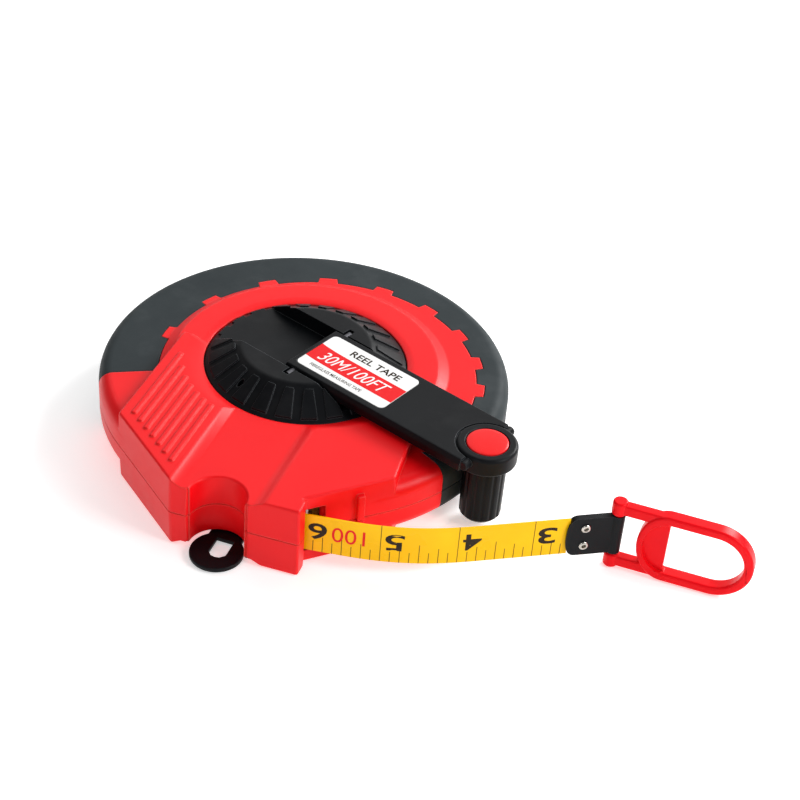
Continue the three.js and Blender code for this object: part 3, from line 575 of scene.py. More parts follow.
def chamberTools():
    wall, back, outside = chamber["wall"], chamber["back"], chamber["left"]
    roof, valleyRoof = lid - wall, lid - valleyDepth - wall
    front, leftFront = -prongFront + chamber["frontWall"], -prongFront + chamber["leftWall"]
    left, right = case["valleyLeft"][0], case["valleyRight"][1]
    low = split - 1
    sides = [
        pillar([(outside, back), (outside, frontCorner[1] + 1.2), (min(prongCorner[0], left) - 2.2, leftFront),
                (left - 1, leftFront), (left - 1, back)], low, roof),
        pillar([(right + 1, back), (right + 1, front + 2), (mouthX - 2.6, front + 2),
                (recessCorner[0] - 2.4, recessCorner[1] + 1.2), (shoulder[0] - 3.2, shoulder[1] + 1.4),
                (collar + 0.4, back)], low, roof),
        pillar([(left - 2, back), (left - 2, front + 1), (right + 2, front + 2), (right + 2, back)], low, valleyRoof),
    ]
    keep = [rodOf(collar + chamber["collarWall"], low - 1, lid + 1, steps=facets),
            rodOf(case["notchRadius"] + wall, low - 1, lid + 1, *case["notch"])]
    return [combine(side, *((less, k.copy()) for k in keep)) for side in sides]


guideRadius, stripHalf, slip = 1.6, 0.25, 0.3
bendPoint = (mouthX - 2.8, -(rim - 0.3))
runRadius = case["woundOuter"] + slip + stripHalf
bendReach = math.hypot(*bendPoint)
runHeading = math.atan2(bendPoint[0], -bendPoint[1]) - math.acos(runRadius / bendReach)
runLength = math.sqrt(bendReach ** 2 - runRadius ** 2)


def alongRun(distance, side):
    c, s = math.cos(runHeading), math.sin(runHeading)
    return bendPoint[0] + c * distance - s * side, bendPoint[1] + s * distance + c * side


guideCentre = alongRun(0, stripHalf + slip + guideRadius)
mouth = {"roof": 5.0, "behind": -1.5, "innerRoom": 6.0, "outerRoom": 7.0, "lip": 3.6, "socketRoof": 1.4}


def mouthTools():
    low, behind, start = split - 1, mouth["behind"], -runLength + 2
    inner = pillar([alongRun(start, behind), alongRun(-5, behind), alongRun(-5, mouth["innerRoom"]),
                    alongRun(start, mouth["innerRoom"])], low, lid - valleyDepth - chamber["wall"])
    outer = pillar([alongRun(-6, behind), alongRun(mouth["lip"], behind), alongRun(mouth["lip"], 1),
                    (mouthX + 7, recessCorner[1] + 3), (mouthX + 3.4, recessCorner[1] + 6),
                    alongRun(-6, mouth["outerRoom"])], low, lid - mouth["roof"])
    socket = rodOf(guideRadius + slip, low, lid - mouth["socketRoof"], *guideCentre)
    return [inner, outer, socket]


teeth = {"centre": (5.5, -1.65), "base": 56.5, "tip": 59.5, "halfBase": 3.8, "halfTip": 3.2, "count": 10,
         "start": -29.0, "end": 208.5}


def toothAngle(index):
    return -2.4 + 13.7 * index + 0.665 * index * (index + 1)


def ownAngle(degrees):
    x, y = polar(1, degrees)
    cx, cy = teeth["centre"]
    offset = cx * x + cy * y
    reach = offset + math.sqrt(teeth["base"] ** 2 - cx ** 2 - cy ** 2 + offset ** 2)
    return math.degrees(math.atan2(reach * y - cy, reach * x - cx))


def bumperSector(grow):
    inset = math.degrees(grow / rim)
    outer = [polar(rim + 12, teeth["start"] - inset + (teeth["end"] - teeth["start"] + 2 * inset) * i / 48)
             for i in range(49)]
    inner = []

    def add(radius, degrees):
        x, y = polar(radius - grow, degrees)
        inner.append((teeth["centre"][0] + x, teeth["centre"][1] + y))

    turn = ownAngle(teeth["start"]) - inset
    for i in range(teeth["count"]):
        middle = toothAngle(i)
        for k in range(9):
            add(teeth["base"], turn + (middle - teeth["halfBase"] - turn) * k / 8)
        for k in range(3):
            add(teeth["tip"], middle + teeth["halfTip"] * (k - 1))
        turn = middle + teeth["halfBase"]
    last = ownAngle(teeth["end"]) + 360 + inset
    for k in range(9):
        add(teeth["base"], turn + (last - turn) * k / 8)
    return pillar(outer + inner[::-1], split - 2, lid + 2)


def bumperBed():
    depth = case["bumperSkin"] + case["bumperGap"]
    outer = lathe([(0, split - 1), (rim + 1, split - 1), *domeRail(-1, -1), (0, crown + 1)], facets)
    inner = lathe([(0, split - 2), (rim - case["rimBumper"] - case["bumperGap"], split - 2),
                   *domeRail(depth, case["rimBumper"] + case["bumperGap"]), (0, crown - depth)], facets)
    return combine(outer, (less, inner), (within, bumperSector(0.15)))


def bumperBody():
    outer = lathe([(0, split), *domeRail(0, 0), (0, crown)], facets)
    inner = lathe([(0, split - 1), (rim - case["rimBumper"], split - 1),
                   *domeRail(case["bumperSkin"], case["rimBumper"]), (0, crown - case["bumperSkin"])], facets)
    bm = combine(outer, (less, inner), (within, bumperSector(-0.1)), (less, belowSeam()))
    tidy(bm)
    return soften(bm, 0.3, 2, 40, 140, lambda e: min(v.co.z for v in e.verts) > seamLow + 6 or
                  max(v.co.z for v in e.verts) < seamLow + 0.05)


def shellOutside(footed):
    bm = combine(roundBlank(footed), (plus, frontBlank()), (less, valleyTool(
        collar if footed else case["opening"] - 4)), (less, notchTool()))
    if not footed:
        bm = combine(bm, (less, openingTool()))
    tidy(bm, 0.03)
    return bm


def belowSeam():
    return slab((-200, -200, 0), (200, 200, seamLow))


def mirrorDown(bm):
    return turnBm(bm, Matrix.Translation((0, 0, lid)) @ Matrix.Scale(-1, 4, (0, 0, 1)))


def cutInside(bm, hubRoof, bore):
    steps = [(less, windingTool(hubRoof)), (less, bumperBed())]
    steps += [(less, tool) for tool in (*chamberTools(), *mouthTools())]
    if bore:
        steps.append((less, rodOf(case["opening"], split - 1, lid + 2, steps=facets)))
    steps.append((less, belowSeam()))
    return combine(bm, *steps)


def roundedBar(low, high, width=0.35, segments=2):
    return soften(slab(low, high), width, segments)


def ribBars():
    sizes = {"count": 7, "pitch": 3.65, "first": -40.6, "width": 1.9, "rise": 0.6, "inset": 4.6, "circle": 44.0}
    bars = []
    for i in range(sizes["count"]):
        x = sizes["first"] + i * sizes["pitch"]
        wallY = (rim - sizes["inset"] - x * frontCorner[0] / rim) * rim
        low = (x - sizes["width"] / 2, wallY / frontCorner[1], lid - 1)
        high = (x + sizes["width"] / 2, -math.sqrt(sizes["circle"] ** 2 - x * x), lid + sizes["rise"])
        bars.append((plus, roundedBar(low, high, 0.5, 3)))
    return bars


catch = {"place": 18.5, "width": 2.6, "proud": 1.7, "fall": 3.4}


def catchRib():
    along = (Vector(shoulder) - Vector(recessCorner)).normalized()
    outward = Vector((along.y, -along.x))
    start = Vector(recessCorner) + along * catch["place"]
    corners = [start + along * a + outward * o for a, o in ((0, -1), (0, catch["proud"]),
                                                            (catch["width"], catch["proud"]), (catch["width"], -1))]
    return soften(pillar([tuple(c) for c in corners], seamLow, lid - catch["fall"]), 0.4, 2)


def screwPockets():
    places = [(-26, 7 - rim), (21, -rim - 3.2), *(polar(rim - 4.6, turn) for turn in (-44.9, 35, 95, 158))]
    pockets = []
    for x, y in places:
        surface = lid if y < -case["landLeft"] else crown
        pockets.append((less, rodOf(2.5, surface - 2.4, surface + 1, x, y, 40)))
    return pockets


def buildShells():
    top = cutInside(shellOutside(False), case["collarTop"] - 2.4, True)
    top = combine(top, *ribBars(), (plus, catchRib()))
    finishPiece(top, "caseTop", "case", redCase, ["top_shell"])
    bottom = cutInside(shellOutside(True), lid - 2.2, False)
    bottom = combine(bottom, (plus, catchRib()), *screwPockets())
    finishPiece(mirrorDown(bottom), "caseBottom", "case", redCase, ["bottom_shell"])


buildShells()
finishPiece(bumperBody(), "bumperTop", "case", greyRubber, ["top_bumper"])
finishPiece(mirrorDown(bumperBody()), "bumperBottom", "case", greyRubber, ["bottom_bumper"])

# ---- hanging eye under the notch

eye = {"radius": 9.1, "low": 0.3, "high": 1.9, "tailLeft": -4.6, "tailRight": 7.4, "tailEnd": -54.0, "slotX": 2.0,
       "slotHalf": 3.0, "slotInner": -74.8, "slotOuter": -83.8}


def buildEye(s):
    centre = case["notch"]
    half = s["slotHalf"]
    slotEnd = s["slotOuter"] + half * 0.7
    slot = [(s["slotX"] + half, s["slotInner"]), (s["slotX"] - half, s["slotInner"]), (s["slotX"] - half, slotEnd),
            (s["slotX"] - half * 0.5, s["slotOuter"] + 0.5), (s["slotX"], s["slotOuter"] + 0.2),
            (s["slotX"] + half * 0.5, s["slotOuter"] + 0.5), (s["slotX"] + half, slotEnd)]
    bm = combine(rodOf(s["radius"], s["low"], s["high"], *centre, 96),
                 (plus, slab((s["tailLeft"], centre[1], s["low"]), (s["tailRight"], s["tailEnd"], s["high"]))),
                 (less, pillar(slot, -1, 4)), (less, rodOf(1.5, -1, 4, centre[0], -58, 32)))
    soften(tidy(bm), 0.35, 3, 40)
    finishPiece(bm, "hangingEye", "case", blackSatin, ["hanging_eye"])


buildEye(eye)
print("case made")

# ---- crank hub

hub = {"radius": 35.8, "low": 23.15, "lip": 24.9, "lipRise": 0.4, "lipInset": 1.2, "flat": 23.0, "top": 32.4,
       "trough": 14.3, "floor": 26.4, "pads": 24, "padTurn": -1.3, "padRise": 0.85, "padInner": 25.2,
       "padOuter": 34.6, "padWide": 4.85, "padNarrow": 3.6, "pinX": 6.0, "pinHeight": 31.2, "pinReach": 17.9,
       "turn": -20.1, "padRoot": -0.8, "drainRadius": 29.3, "drainTurn": -118.9}
reelTurn = Matrix.Rotation(math.radians(hub["turn"]), 4, "Z")


def coneHeight(radius):
    outer = hub["radius"] - hub["lipInset"]
    rise = hub["top"] - hub["lip"] - hub["lipRise"]
    return hub["lip"] + hub["lipRise"] + rise * (outer - radius) / (outer - hub["flat"])


def padTool(middle):
    inner, outer = hub["padInner"], hub["padOuter"]
    points = [polar(inner, middle - hub["padNarrow"]), polar(outer, middle - hub["padWide"]),
              polar(outer, middle + hub["padWide"]), polar(inner, middle + hub["padNarrow"])]
    return soften(loft([[(x, y, coneHeight(math.hypot(x, y)) + level) for x, y in points]
                        for level in (hub["padRoot"], hub["padRise"])]), 0.3, 2)


def buildHub(s):
    rail = [(0, s["low"]), (s["radius"], s["low"]), (s["radius"], s["lip"] - 0.3), (s["radius"] - 0.3, s["lip"]),
            (s["radius"] - s["lipInset"], s["lip"] + s["lipRise"]), (s["flat"] + 0.7, coneHeight(s["flat"] + 0.7)),
            (s["flat"], s["top"] - 0.1), (s["flat"] - 0.8, s["top"]), (0, s["top"])]
    steps = [(plus, padTool(15 * k + s["padTurn"])) for k in range(s["pads"])]
    reach = s["radius"] + 4
    steps.append((less, slab((-reach, -s["trough"], s["floor"]), (reach, s["trough"], s["top"] + 4))))
    steps.append((less, roundedBar((s["pinX"] - 1.3, -s["pinReach"], s["pinHeight"] - 1.3),
                                           (s["pinX"] + 1.3, s["pinReach"], s["top"] + 4), 0.4)))
    around = Matrix.Rotation(math.radians(s["drainTurn"] - s["turn"]), 4, "Z")
    drain = turnBm(rodOf(1.0, 20, 40, steps=32),
                   around @ Matrix.Translation((s["drainRadius"], 0, 0)) @ Matrix.Diagonal((1.5, 0.9, 1, 1)))
    steps.append((less, drain))
    bm = combine(lathe(rail, 144), *steps)
    turnBm(bm, reelTurn)
    finishPiece(bm, "crankHub", "reel", blackSatin, ["crank_hub"], crease=28)


buildHub(hub)

# ---- crank arm, label, cap and grip

arm = {"half": 13.0, "bevel": 0.8, "under": 28.4, "top": 33.0, "pinX": 6.0, "pinHeight": 31.2, "tip": 4.0,
       "knobX": 80.759, "head": 10.5, "headUnder": 26.5, "headTop": 33.5, "cap": 7.1, "lug": 1.7, "lugHeight": 30.8,
       "labelFrom": 4.2, "labelTo": 43.6, "labelHalf": 10.7, "labelCorner": 2.0, "labelFloor": 32.5,
       "labelLow": 32.8, "labelTop": 33.06}
knobPlace = reelTurn @ Matrix.Translation((arm["knobX"], 0, 0))


def crossRod(radius, left, right, x, z, steps=32):
    bm = rodOf(radius, left, right, steps=steps)
    return turnBm(bm, Matrix.Translation((x, 0, z)) @ Matrix.Rotation(math.radians(-90), 4, "X"))


def buildArm(s):
    tip = math.degrees(math.acos((s["top"] - s["pinHeight"]) / s["tip"]))
    foot = math.degrees(math.acos((s["pinHeight"] - s["under"]) / s["tip"]))
    outline = [(s["knobX"] - 1, s["under"]), (s["knobX"] - 1, s["top"]),
               *arcOf((s["pinX"], s["pinHeight"]), s["tip"], 90 + tip, 270 - foot, 12)]
    wide = s["half"] + s["bevel"]
    atKnob = Matrix.Translation((s["knobX"], 0, 0))
    section = [(-wide, s["under"] - 1), (wide, s["under"] - 1), (wide, s["top"] - 2), (s["half"], s["top"] + 0.01),
               (-s["half"], s["top"] + 0.01), (-wide, s["top"] - 2)]
    lengthwise = pillar(section, 0, s["knobX"] + 2)
    turnBm(lengthwise, Matrix(((0, 0, 1, 0), (1, 0, 0, 0), (0, 1, 0, 0), (0, 0, 0, 1))))
    side = standUp(pillar(outline, -wide - 2, wide + 2))
    bm = combine(side, (within, lengthwise))
    soften(tidy(bm), 0.35, 2, 20)
    lugs = crossRod(s["lug"], -s["half"] - 0.4, s["half"] + 0.4, s["knobX"], s["lugHeight"])
    soften(lugs, 0.4, 2, 60)
    gap = 0.3
    pocket = slab((s["labelFrom"] - gap, -s["labelHalf"] - gap, s["labelFloor"]),
                  (s["labelTo"] + gap, s["labelHalf"] + gap, s["top"] + 2))
    corner = [e for e in pocket.edges if abs(e.verts[0].co.z - e.verts[1].co.z) > 1]
    bmesh.ops.bevel(pocket, geom=corner, offset=s["labelCorner"], segments=6, profile=0.5, affect="EDGES",
                    material=-1)
    groove = lathe([(s["head"] - 0.5, s["top"] - 0.6), (s["head"] + 0.25, s["top"] - 0.6),
                    (s["head"] + 0.8, s["top"] + 1), (s["head"] - 0.5, s["top"] + 1)], 96, True)
    turnBm(groove, atKnob)
    rail = [(0, s["headUnder"]), *arcOf((s["head"] - 1, s["headUnder"] + 1), 1, 270, 360, 6),
            *arcOf((s["head"] - 1.3, s["headTop"] - 1.3), 1.3, 0, 90, 8), (0, s["headTop"])]
    head = turnBm(lathe(rail, 96), atKnob)
    bore = [(0, s["headTop"] - 3), (s["cap"] + 0.3, s["headTop"] - 3), (s["cap"] + 0.3, s["headTop"] - 0.3),
            (s["cap"] + 0.7, s["headTop"] + 0.2), (s["cap"] + 0.7, s["headTop"] + 2), (0, s["headTop"] + 2)]
    seat = turnBm(lathe(bore, 96), atKnob)
    bm = combine(bm, (less, groove), (plus, lugs), (less, pocket), (plus, head),
                 (less, seat), (less, crossRod(1.3, -60, 60, s["pinX"], s["pinHeight"])))
    turnBm(bm, reelTurn)
    finishPiece(bm, "crankArm", "crank", blackSatin, ["crank_arm"], crease=28)


buildArm(arm)


def buildGrip():
    s = {"radius": 7.42, "taper": 0.25, "low": 2.8, "high": 26.2, "flutes": 14, "depth": 0.3, "bore": 2.5, "wall": 3.1}
    outline = []
    count = s["flutes"] * 14
    for i in range(count):
        turn = 360 * i / count
        groove = abs(cosOf(turn * s["flutes"] / 2)) ** 6
        outline.append(polar(s["radius"] - s["depth"] * groove, turn))
    bm = pillar(outline, s["low"], s["high"])
    for v in bm.verts:
        if v.co.z < s["low"] + 1:
            v.co.x *= 1 - s["taper"] / s["radius"]
            v.co.y *= 1 - s["taper"] / s["radius"]
    envelope = [(0, s["low"]), (s["radius"] - 2.0, s["low"]), (s["radius"] - 1.4, s["low"] + 0.25),
                (s["radius"] + 0.1, s["low"] + 2.1), (s["radius"] + 0.1, s["high"] - 0.9),
                (s["radius"] - 0.25, s["high"] - 0.2), (s["radius"] - 0.8, s["high"]), (0, s["high"])]
    bm = combine(bm, (within, lathe(envelope, 144)), (less, rodOf(s["bore"], s["low"] + s["wall"], s["high"] + 1)))
    turnBm(bm, knobPlace)
    finishPiece(bm, "knobGrip", "grip", blackGrip, ["knob_grip"], crease=38)


def buildCap():
    s = {"radius": 7.1, "low": 31.8, "top": 34.0, "shoulder": 33.4}
    rise = s["top"] - s["shoulder"]
    dome = [(s["radius"] * cosOf(a), s["shoulder"] + rise * sinOf(a)) for a in range(0, 90, 10)]
    bm = lathe([(0, s["low"]), (s["radius"], s["low"]), *dome, (0, s["top"])], 96)
    turnBm(bm, knobPlace)
    finishPiece(bm, "knobCap", "crank", redCap, ["knob_cap"])


def buildCapMaterial():
    # Turned dome with faint radial scuffs about the knob's axis; the lighter streaks are partly a painted star
    # highlight.
    material, tree, shader = startMaterial("redCap", Specular_IOR_Level=0.15)
    skin = placeGroup(tree, mouldedSkin, Grain_Depth=0.000008, Rough_Low=0.2, Rough_High=0.34)
    shift = addNode(tree, "VectorMath", {"operation": "SUBTRACT"})
    give(tree, shift.inputs[0], ownPlace(tree))
    give(tree, shift.inputs[1], knobPlace.translation * toMetres)
    x, y, z = partsOf(tree, shift.outputs["Vector"])
    turn = mathOf(tree, "MULTIPLY", mathOf(tree, "ARCTAN2", y, x), 9.0)
    spread = addNode(tree, "CombineXYZ", X=turn).outputs["Vector"]
    # Lighter radial streaks: real scuffs, and a painted star highlight.
    fine = remap(tree, noiseOf(tree, spread, 3.0, 5.0, 0.75), 0.6, 0.66, 0.0, 0.22)
    color = mixColor(tree, remap(tree, skin.outputs["Tone"], 0.3, 0.7), (0.80, 0.012, 0.014), (0.87, 0.02, 0.02))
    fill(tree, shader, Base_Color=mixColor(tree, fine, color, (1.0, 0.32, 0.28)), Normal=skin.outputs["Normal"],
         Roughness=mathOf(tree, "ADD", skin.outputs["Roughness"], fine))
    return material


redCap = buildCapMaterial()
buildGrip()
buildCap()


def buildLabelPaper():
    material, tree, shader = startMaterial("labelFilm", Specular_IOR_Level=0.2)
    place = ownPlace(tree)
    drift = remap(tree, noiseOf(tree, place, 90.0, 4.0), 0.3, 0.7)
    fill(tree, shader, Base_Color=mixColor(tree, drift, (0.80, 0.80, 0.79), (0.88, 0.88, 0.87)),
         Roughness=remap(tree, noiseOf(tree, place, 500.0, 3.0), 0.3, 0.7, 0.25, 0.36))
    return material


def buildInk(name, tint, worn):
    material, tree, shader = startMaterial(name, Specular_IOR_Level=0.15)
    patches = noiseOf(tree, ownPlace(tree), 700.0, 4.0, 0.6)
    fill(tree, shader, Base_Color=mixColor(tree, remap(tree, patches, 0.5, 0.75, 0.0, 0.25), tint, worn),
         Roughness=remap(tree, patches, 0.3, 0.7, 0.3, 0.42))
    return material


labelFilm = buildLabelPaper()
redInk = buildInk("redInk", (0.76, 0.006, 0.010), (0.84, 0.05, 0.04))
blackInk = buildInk("blackInk", (0.018, 0.010, 0.005), (0.12, 0.06, 0.01))
whiteInk = buildInk("whiteInk", (0.86, 0.86, 0.86), (0.72, 0.70, 0.70))


def flatText(words, width, height, weight=0.0):
    # Lettering as a flat bmesh centred on the origin, drawn to the given size.
    curve = bpy.data.curves.new("lettering", "FONT")
    curve.body = words
    curve.resolution_u = 4
    curve.offset = weight
    holder = addObject("lettering", curve)
    bm = bmesh.new()
    bm.from_mesh(madeMesh(holder))
    bpy.data.objects.remove(holder)
    bpy.data.curves.remove(curve)
    bmesh.ops.remove_doubles(bm, verts=bm.verts[:], dist=0.0001)
    low = [min(v.co[i] for v in bm.verts) for i in (0, 1)]
    high = [max(v.co[i] for v in bm.verts) for i in (0, 1)]
    for v in bm.verts:
        v.co.x = (v.co.x - (low[0] + high[0]) / 2) * width / (high[0] - low[0])
        v.co.y = (v.co.y - (low[1] + high[1]) / 2) * height / (high[1] - low[1])
    return bm


def flatShape(points):
    bm = bmesh.new()
    bm.faces.new([bm.verts.new((x, y, 0)) for x, y in points])
    return bm


def thicken(bm, depth):
    # Gives flat print a body that grows up from its plane.
    faceOut(bm)
    if sum(f.normal.z for f in bm.faces) < 0:
        bmesh.ops.reverse_faces(bm, faces=bm.faces[:])
    return raiseFaces(bm, bm.faces[:], depth, True)


def buildLabel(s):
    low, high, half, corner = s["labelFrom"], s["labelTo"], s["labelHalf"], s["labelCorner"]
    left, right, up = low + corner, high - corner, half - corner
    centres = ((right, up), (left, up), (left, -up), (right, -up))
    outline = [p for i, centre in enumerate(centres) for p in arcOf(centre, corner, 90 * i, 90 * i + 90, 8)]
    plate = soften(pillar(outline, s["labelLow"], s["labelTop"]), 0.06, 2, 60)
    finishPiece(turnBm(plate, reelTurn), "armLabel", "crank", labelFilm, ["arm_label"])


def labelPrint(bm, name, ink):
    # Printed a hair above the film, with the word's x along the arm.
    thicken(bm, 0.02)
    turnBm(bm, reelTurn @ Matrix.Translation((0, 0, arm["labelTop"] + 0.005)))
    finishPiece(bm, name, "crank", ink, weighted=False)


def buildLabelPrint():
    steps = 24
    band = []
    for i in range(steps + 1):
        u = arm["labelFrom"] + 0.05 + (arm["labelTo"] - arm["labelFrom"] - 0.1) * i / steps
        band.append((u, 2.8 + 1.0 * math.exp(-i / 3), -5.9 + 0.7 * math.exp(-i / 3)))
    labelPrint(flatShape([(u, high) for u, high, low in band] + [(u, low) for u, high, low in band[::-1]]),
               "labelBand", redInk)
    lines = (("30M/100FT", 29.0, 5.4, 23.4, -1.5, 0.25, 0.0, "labelLength", whiteInk, 0.03),
             ("REEL TAPE", 22.0, 3.2, 26.5, 6.6, 0.0, 0.02, "labelName", blackInk, 0.0),
             ("FIBREGLASS MEASURING TAPE", 23.0, 1.5, 20.5, -8.1, 0.0, 0.008, "labelKind", blackInk, 0.0))
    for words, width, height, u, v, slant, weight, name, ink, lift in lines:
        bm = flatText(words, width, height, weight)
        for vert in bm.verts:
            vert.co = Vector((vert.co.x + slant * vert.co.y + u, vert.co.y + v, lift))
        labelPrint(bm, name, ink)


buildLabel(arm)
buildLabelPrint()
print("reel and crank made")

# ---- tape, leader and eyelets

tape = {"low": 6.3, "width": 15.0, "exit": 8.0, "end": 30.8, "curveStart": 7.0, "curveEnd": 62.0,
        "free": 105.3, "stripEnd": 16.3, "step": 1.25, "firstInch": 0.9, "inch": 25.4,
        "printHeight": 14.85, "digitFrom": 4.55, "feetFrom": 14.8}


def headingAt(along):
    t = min(max((along - tape["curveStart"]) / (tape["curveEnd"] - tape["curveStart"]), 0), 1)
    return math.radians(tape["exit"] + (tape["end"] - tape["exit"]) * t * t * (3 - 2 * t))


def tapePath():
    # Each point is its distance past the bend, x, y and heading.
    radius = guideRadius + slip + stripHalf
    x, y = alongRun(-runLength, 0)
    points = [(-60.0, x, y, runHeading)]
    x, y = alongRun(0, 0)
    points.append((-20.0, x, y, runHeading))
    heading = runHeading
    bend = (math.radians(tape["exit"]) - runHeading) / 12
    for i in range(12):
        chord = 2 * radius * math.sin(bend / 2)
        x += math.cos(heading + bend / 2) * chord
        y += math.sin(heading + bend / 2) * chord
        heading += bend
        points.append((-11.0 + i, x, y, heading))
    points[-1] = (0.0, x, y, heading)
    length = tape["free"] - tape["stripEnd"]
    steps = round(length / tape["step"])
    for i in range(steps):
        middle = headingAt((i + 0.5) * length / steps)
        x += math.cos(middle) * length / steps
        y += math.sin(middle) * length / steps
        points.append(((i + 1) * length / steps, x, y, headingAt((i + 1) * length / steps)))
    return points


path = tapePath()


def besideTape(point, side):
    along, x, y, heading = point
    return x - math.sin(heading) * side, y + math.cos(heading) * side


def onTape(along, side):
    for a, b in zip(path, path[1:]):
        if a[0] <= along <= b[0]:
            t = (along - a[0]) / (b[0] - a[0])
            mixed = [p + (q - p) * t for p, q in zip(a, b)]
            return besideTape(mixed, side)
    return besideTape(path[-1], side)


def buildTapeMaterial():
    # Glossy yellow with inch lines and eighths, drawn from the strip's own UV in millimetres.
    material, tree, shader = startMaterial("tapePrint", Specular_IOR_Level=0.15)
    x, height, z = partsOf(tree, addNode(tree, "TexCoord").outputs["UV"])
    along = mathOf(tree, "SUBTRACT", x, tape["firstInch"])
    marks = None
    for share, reach in ((1, 1.1), (2, 0.53), (4, 0.42), (8, 0.30)):
        near = mathOf(tree, "PINGPONG", along, tape["inch"] / share / 2)
        line = remap(tree, near, 0.17, 0.11)
        inReach = remap(tree, height, reach * tape["width"] + 0.04, reach * tape["width"] - 0.04)
        mark = mathOf(tree, "MULTIPLY", line, inReach)
        marks = mark if marks is None else mathOf(tree, "MAXIMUM", marks, mark)
    place = ownPlace(tree)
    drift = noiseOf(tree, place, 60.0, 3.0)
    scuff = remap(tree, noiseOf(tree, place, 900.0, 5.0, 0.7), 0.62, 0.75, 0.0, 0.3)
    yellow = mixColor(tree, remap(tree, drift, 0.3, 0.7), (0.93, 0.49, 0.001), (0.98, 0.55, 0.002))
    yellow = mixColor(tree, scuff, yellow, (0.72, 0.42, 0.01))
    fill(tree, shader, Roughness=remap(tree, drift, 0.3, 0.7, 0.24, 0.34),
         Base_Color=mixColor(tree, mathOf(tree, "MULTIPLY", marks, 0.9), yellow, (0.03, 0.014, 0.003)))
    return material


def buildTape(s):
    outline = [besideTape(p, -stripHalf) for p in path] + [besideTape(p, stripHalf) for p in reversed(path)]
    bm = pillar(outline, s["low"], s["low"] + s["width"])
    layer = bm.loops.layers.uv.new("print")
    for face in bm.faces:
        for loop in face.loops:
            spot = loop.vert.co
            station = min(path, key=lambda p: math.hypot(spot.x - p[1], spot.y - p[2]))
            loop[layer].uv = (station[0], spot.z - s["low"])
    finishPiece(bm, "tapeStrip", "tape", buildTapeMaterial(), ["tape_strip"], crease=50)


def printOnTape(bm, name, ink, along, height):
    # Lays flat lettering on the outer face, read from the ring end.
    thicken(bm, 0.02)
    for v in bm.verts:
        x, y = onTape(along - v.co.x, -stripHalf - v.co.z - 0.005)
        v.co = Vector((x, y, height - v.co.y))
    faceOut(bm)
    finishPiece(bm, name, "tape", ink, weighted=False)


buildTape(tape)
for index, digit in enumerate("6543"):
    line = tape["firstInch"] + index * tape["inch"]
    printOnTape(flatText(digit, 6.3, 7.0, 0.016), "digit" + digit, blackInk, line + tape["digitFrom"],
                tape["printHeight"])
printOnTape(flatText("100", 11.0, 6.2, 0.0), "digitFeet", redInk, tape["firstInch"] + tape["feetFrom"],
            tape["printHeight"])

leader = {"pivot": (123.497, -31.751), "length": 17.3, "half": 7.9, "outer": 1.15, "loopIn": 1.8,
          "loopOut": 2.4, "eyeletX": -11.0, "eyeletStep": 3.7, "hole": 1.3}
leaderPlace = Matrix.Translation((*leader["pivot"], 0)) @ Matrix.Rotation(math.radians(tape["end"]), 4, "Z")


def loopOutline(radius, half, steps=40):
    start = 180 - math.degrees(math.asin(half / radius))
    return arcOf((0, 0), radius, -start, start, steps)


def buildLeader(s):
    outline = [(-s["length"], -s["outer"]), *loopOutline(s["loopOut"], s["outer"]), (-s["length"], s["outer"]),
               (-s["length"], 0.3), (-s["length"] + 1.5, 0.3), (-s["length"] + 1.5, -0.3), (-s["length"], -0.3)]
    low, high = split - s["half"], split + s["half"]
    end = []
    for i in range(25):
        t = math.cos(math.pi * i / 24)
        end.append((-s["length"] + 4.0 * (1 - (1 - abs(t) ** 2.6) ** (1 / 2.6)), split + s["half"] * t))
    silhouette = [(8, low), (8, high), *end]
    bm = combine(pillar(outline, low, high), (within, standUp(pillar(silhouette, -8, 8))),
                 (less, rodOf(s["loopIn"], low - 1, high + 1)))
    for side in (-1, 1):
        bm = combine(bm, (less, crossRod(s["hole"], -4, 4, s["eyeletX"], split + side * s["eyeletStep"])))
    soften(tidy(bm), 0.15, 2, 50)
    finishPiece(turnBm(bm, leaderPlace), "tapeLeader", "tape", blackSatin, ["tape_leader"])


def buildEyelet(side, name, node):
    face, flange = 1.45, 1.8
    curl = [(0.7, -face - 0.05), (0.85, -flange), (1.15, -flange), (1.45, -face - 0.2), (1.6, -face), (1.0, -face)]
    rail = curl + [(r, -y) for r, y in curl[::-1]]
    bm = lathe(rail, 48, True)
    turnBm(bm, leaderPlace @ Matrix.Translation((leader["eyeletX"], 0, split + side * leader["eyeletStep"]))
           @ Matrix.Rotation(math.radians(90), 4, "X"))
    finishPiece(bm, name, "tape", nickel, [node])


buildLeader(leader)
buildEyelet(1, "eyeletUpper", "upper_eyelet")
buildEyelet(-1, "eyeletLower", "lower_eyelet")

# ---- end ring

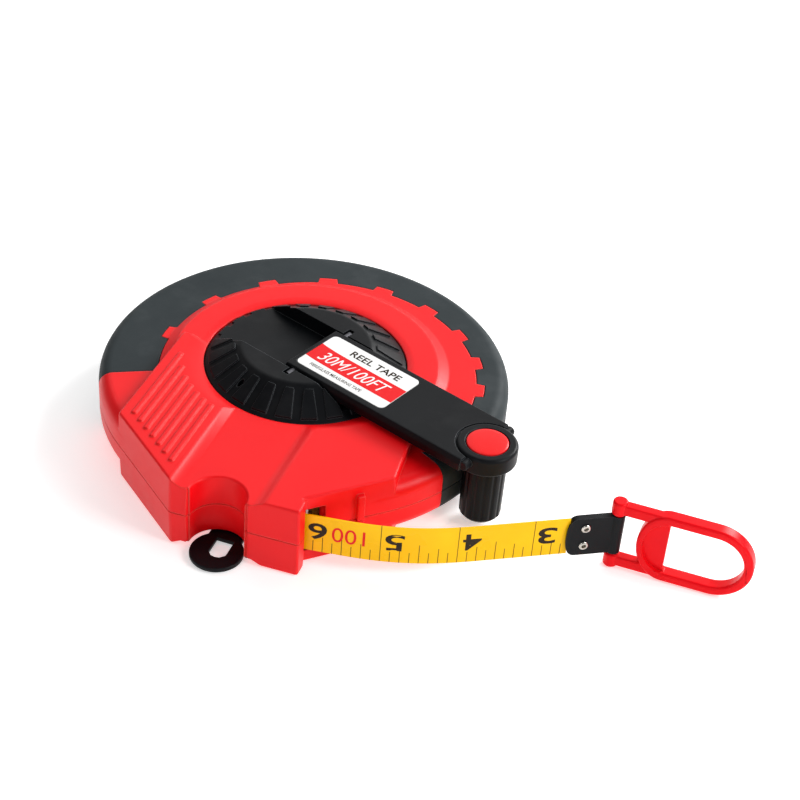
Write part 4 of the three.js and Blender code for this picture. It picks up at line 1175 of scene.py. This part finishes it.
ring = {"length": 46.7, "round": 13.6, "inner": 10.3, "depth": 5.0, "webFrom": 7.5, "webTo": 17.5, "web": 1.8,
        "armFoot": 9.0, "armTall": 4.0, "armHalf": 1.9, "knob": 2.6, "bar": 1.5}


def backCurve(reach, half):
    return [(ring["webTo"] + reach * cosOf(a), split + half * sinOf(a)) for a in range(90, 271, 6)]


def ovalOf(half, reach=0):
    back = backCurve(reach, half) if reach else [(ring["webTo"], split + half), (ring["webTo"], split - half)]
    return arcOf((ring["length"] - ring["round"], split), half, -90, 90, 40) + back


def buildRing(s):
    half = s["depth"] / 2
    bm = combine(standUp(pillar(ovalOf(s["round"], s["webTo"] - s["webFrom"]), -half, half)),
                 (less, standUp(pillar(ovalOf(s["inner"]), -9, 9))))
    bmesh.ops.dissolve_limit(bm, angle_limit=math.radians(1), verts=bm.verts[:], edges=bm.edges[:])
    soften(bm, 0.9, 4, 50)
    bmesh.ops.triangulate(bm, faces=[f for f in bm.faces if len(f.verts) > 4])
    dish = [(s["webTo"] + 1, split - s["inner"]), (s["webTo"] + 1, split + s["inner"]),
            *backCurve(s["webTo"] - s["webFrom"] - 2, s["inner"])]
    steps = []
    for side in (-1, 1):
        low = split + (s["armFoot"] if side > 0 else -s["armFoot"] - s["armTall"])
        strut = roundedBar((0, -s["armHalf"], low), (s["webTo"] - 0.5, s["armHalf"], low + s["armTall"]), 0.7, 3)
        steps.append((plus, strut))
    steps += [(less, standUp(pillar(dish, s["web"] / 2, 9))), (less, standUp(pillar(dish, -9, -s["web"] / 2)))]
    for tips in ((split + s["armFoot"] - 0.6, 2 * split), (0, split - s["armFoot"] + 0.6)):
        steps.append((plus, soften(rodOf(s["knob"], *tips, steps=64), 0.8, 4, 60)))
    steps.append((plus, rodOf(s["bar"], split - s["armFoot"] - 1, split + s["armFoot"] + 1, steps=48)))
    bm = combine(bm, *steps)
    turnBm(bm, Matrix.Translation((*leader["pivot"], 0)))
    finishPiece(bm, "endRing", "ring", redGloss, ["end_ring"])


buildRing(ring)
print("tape and ring made")
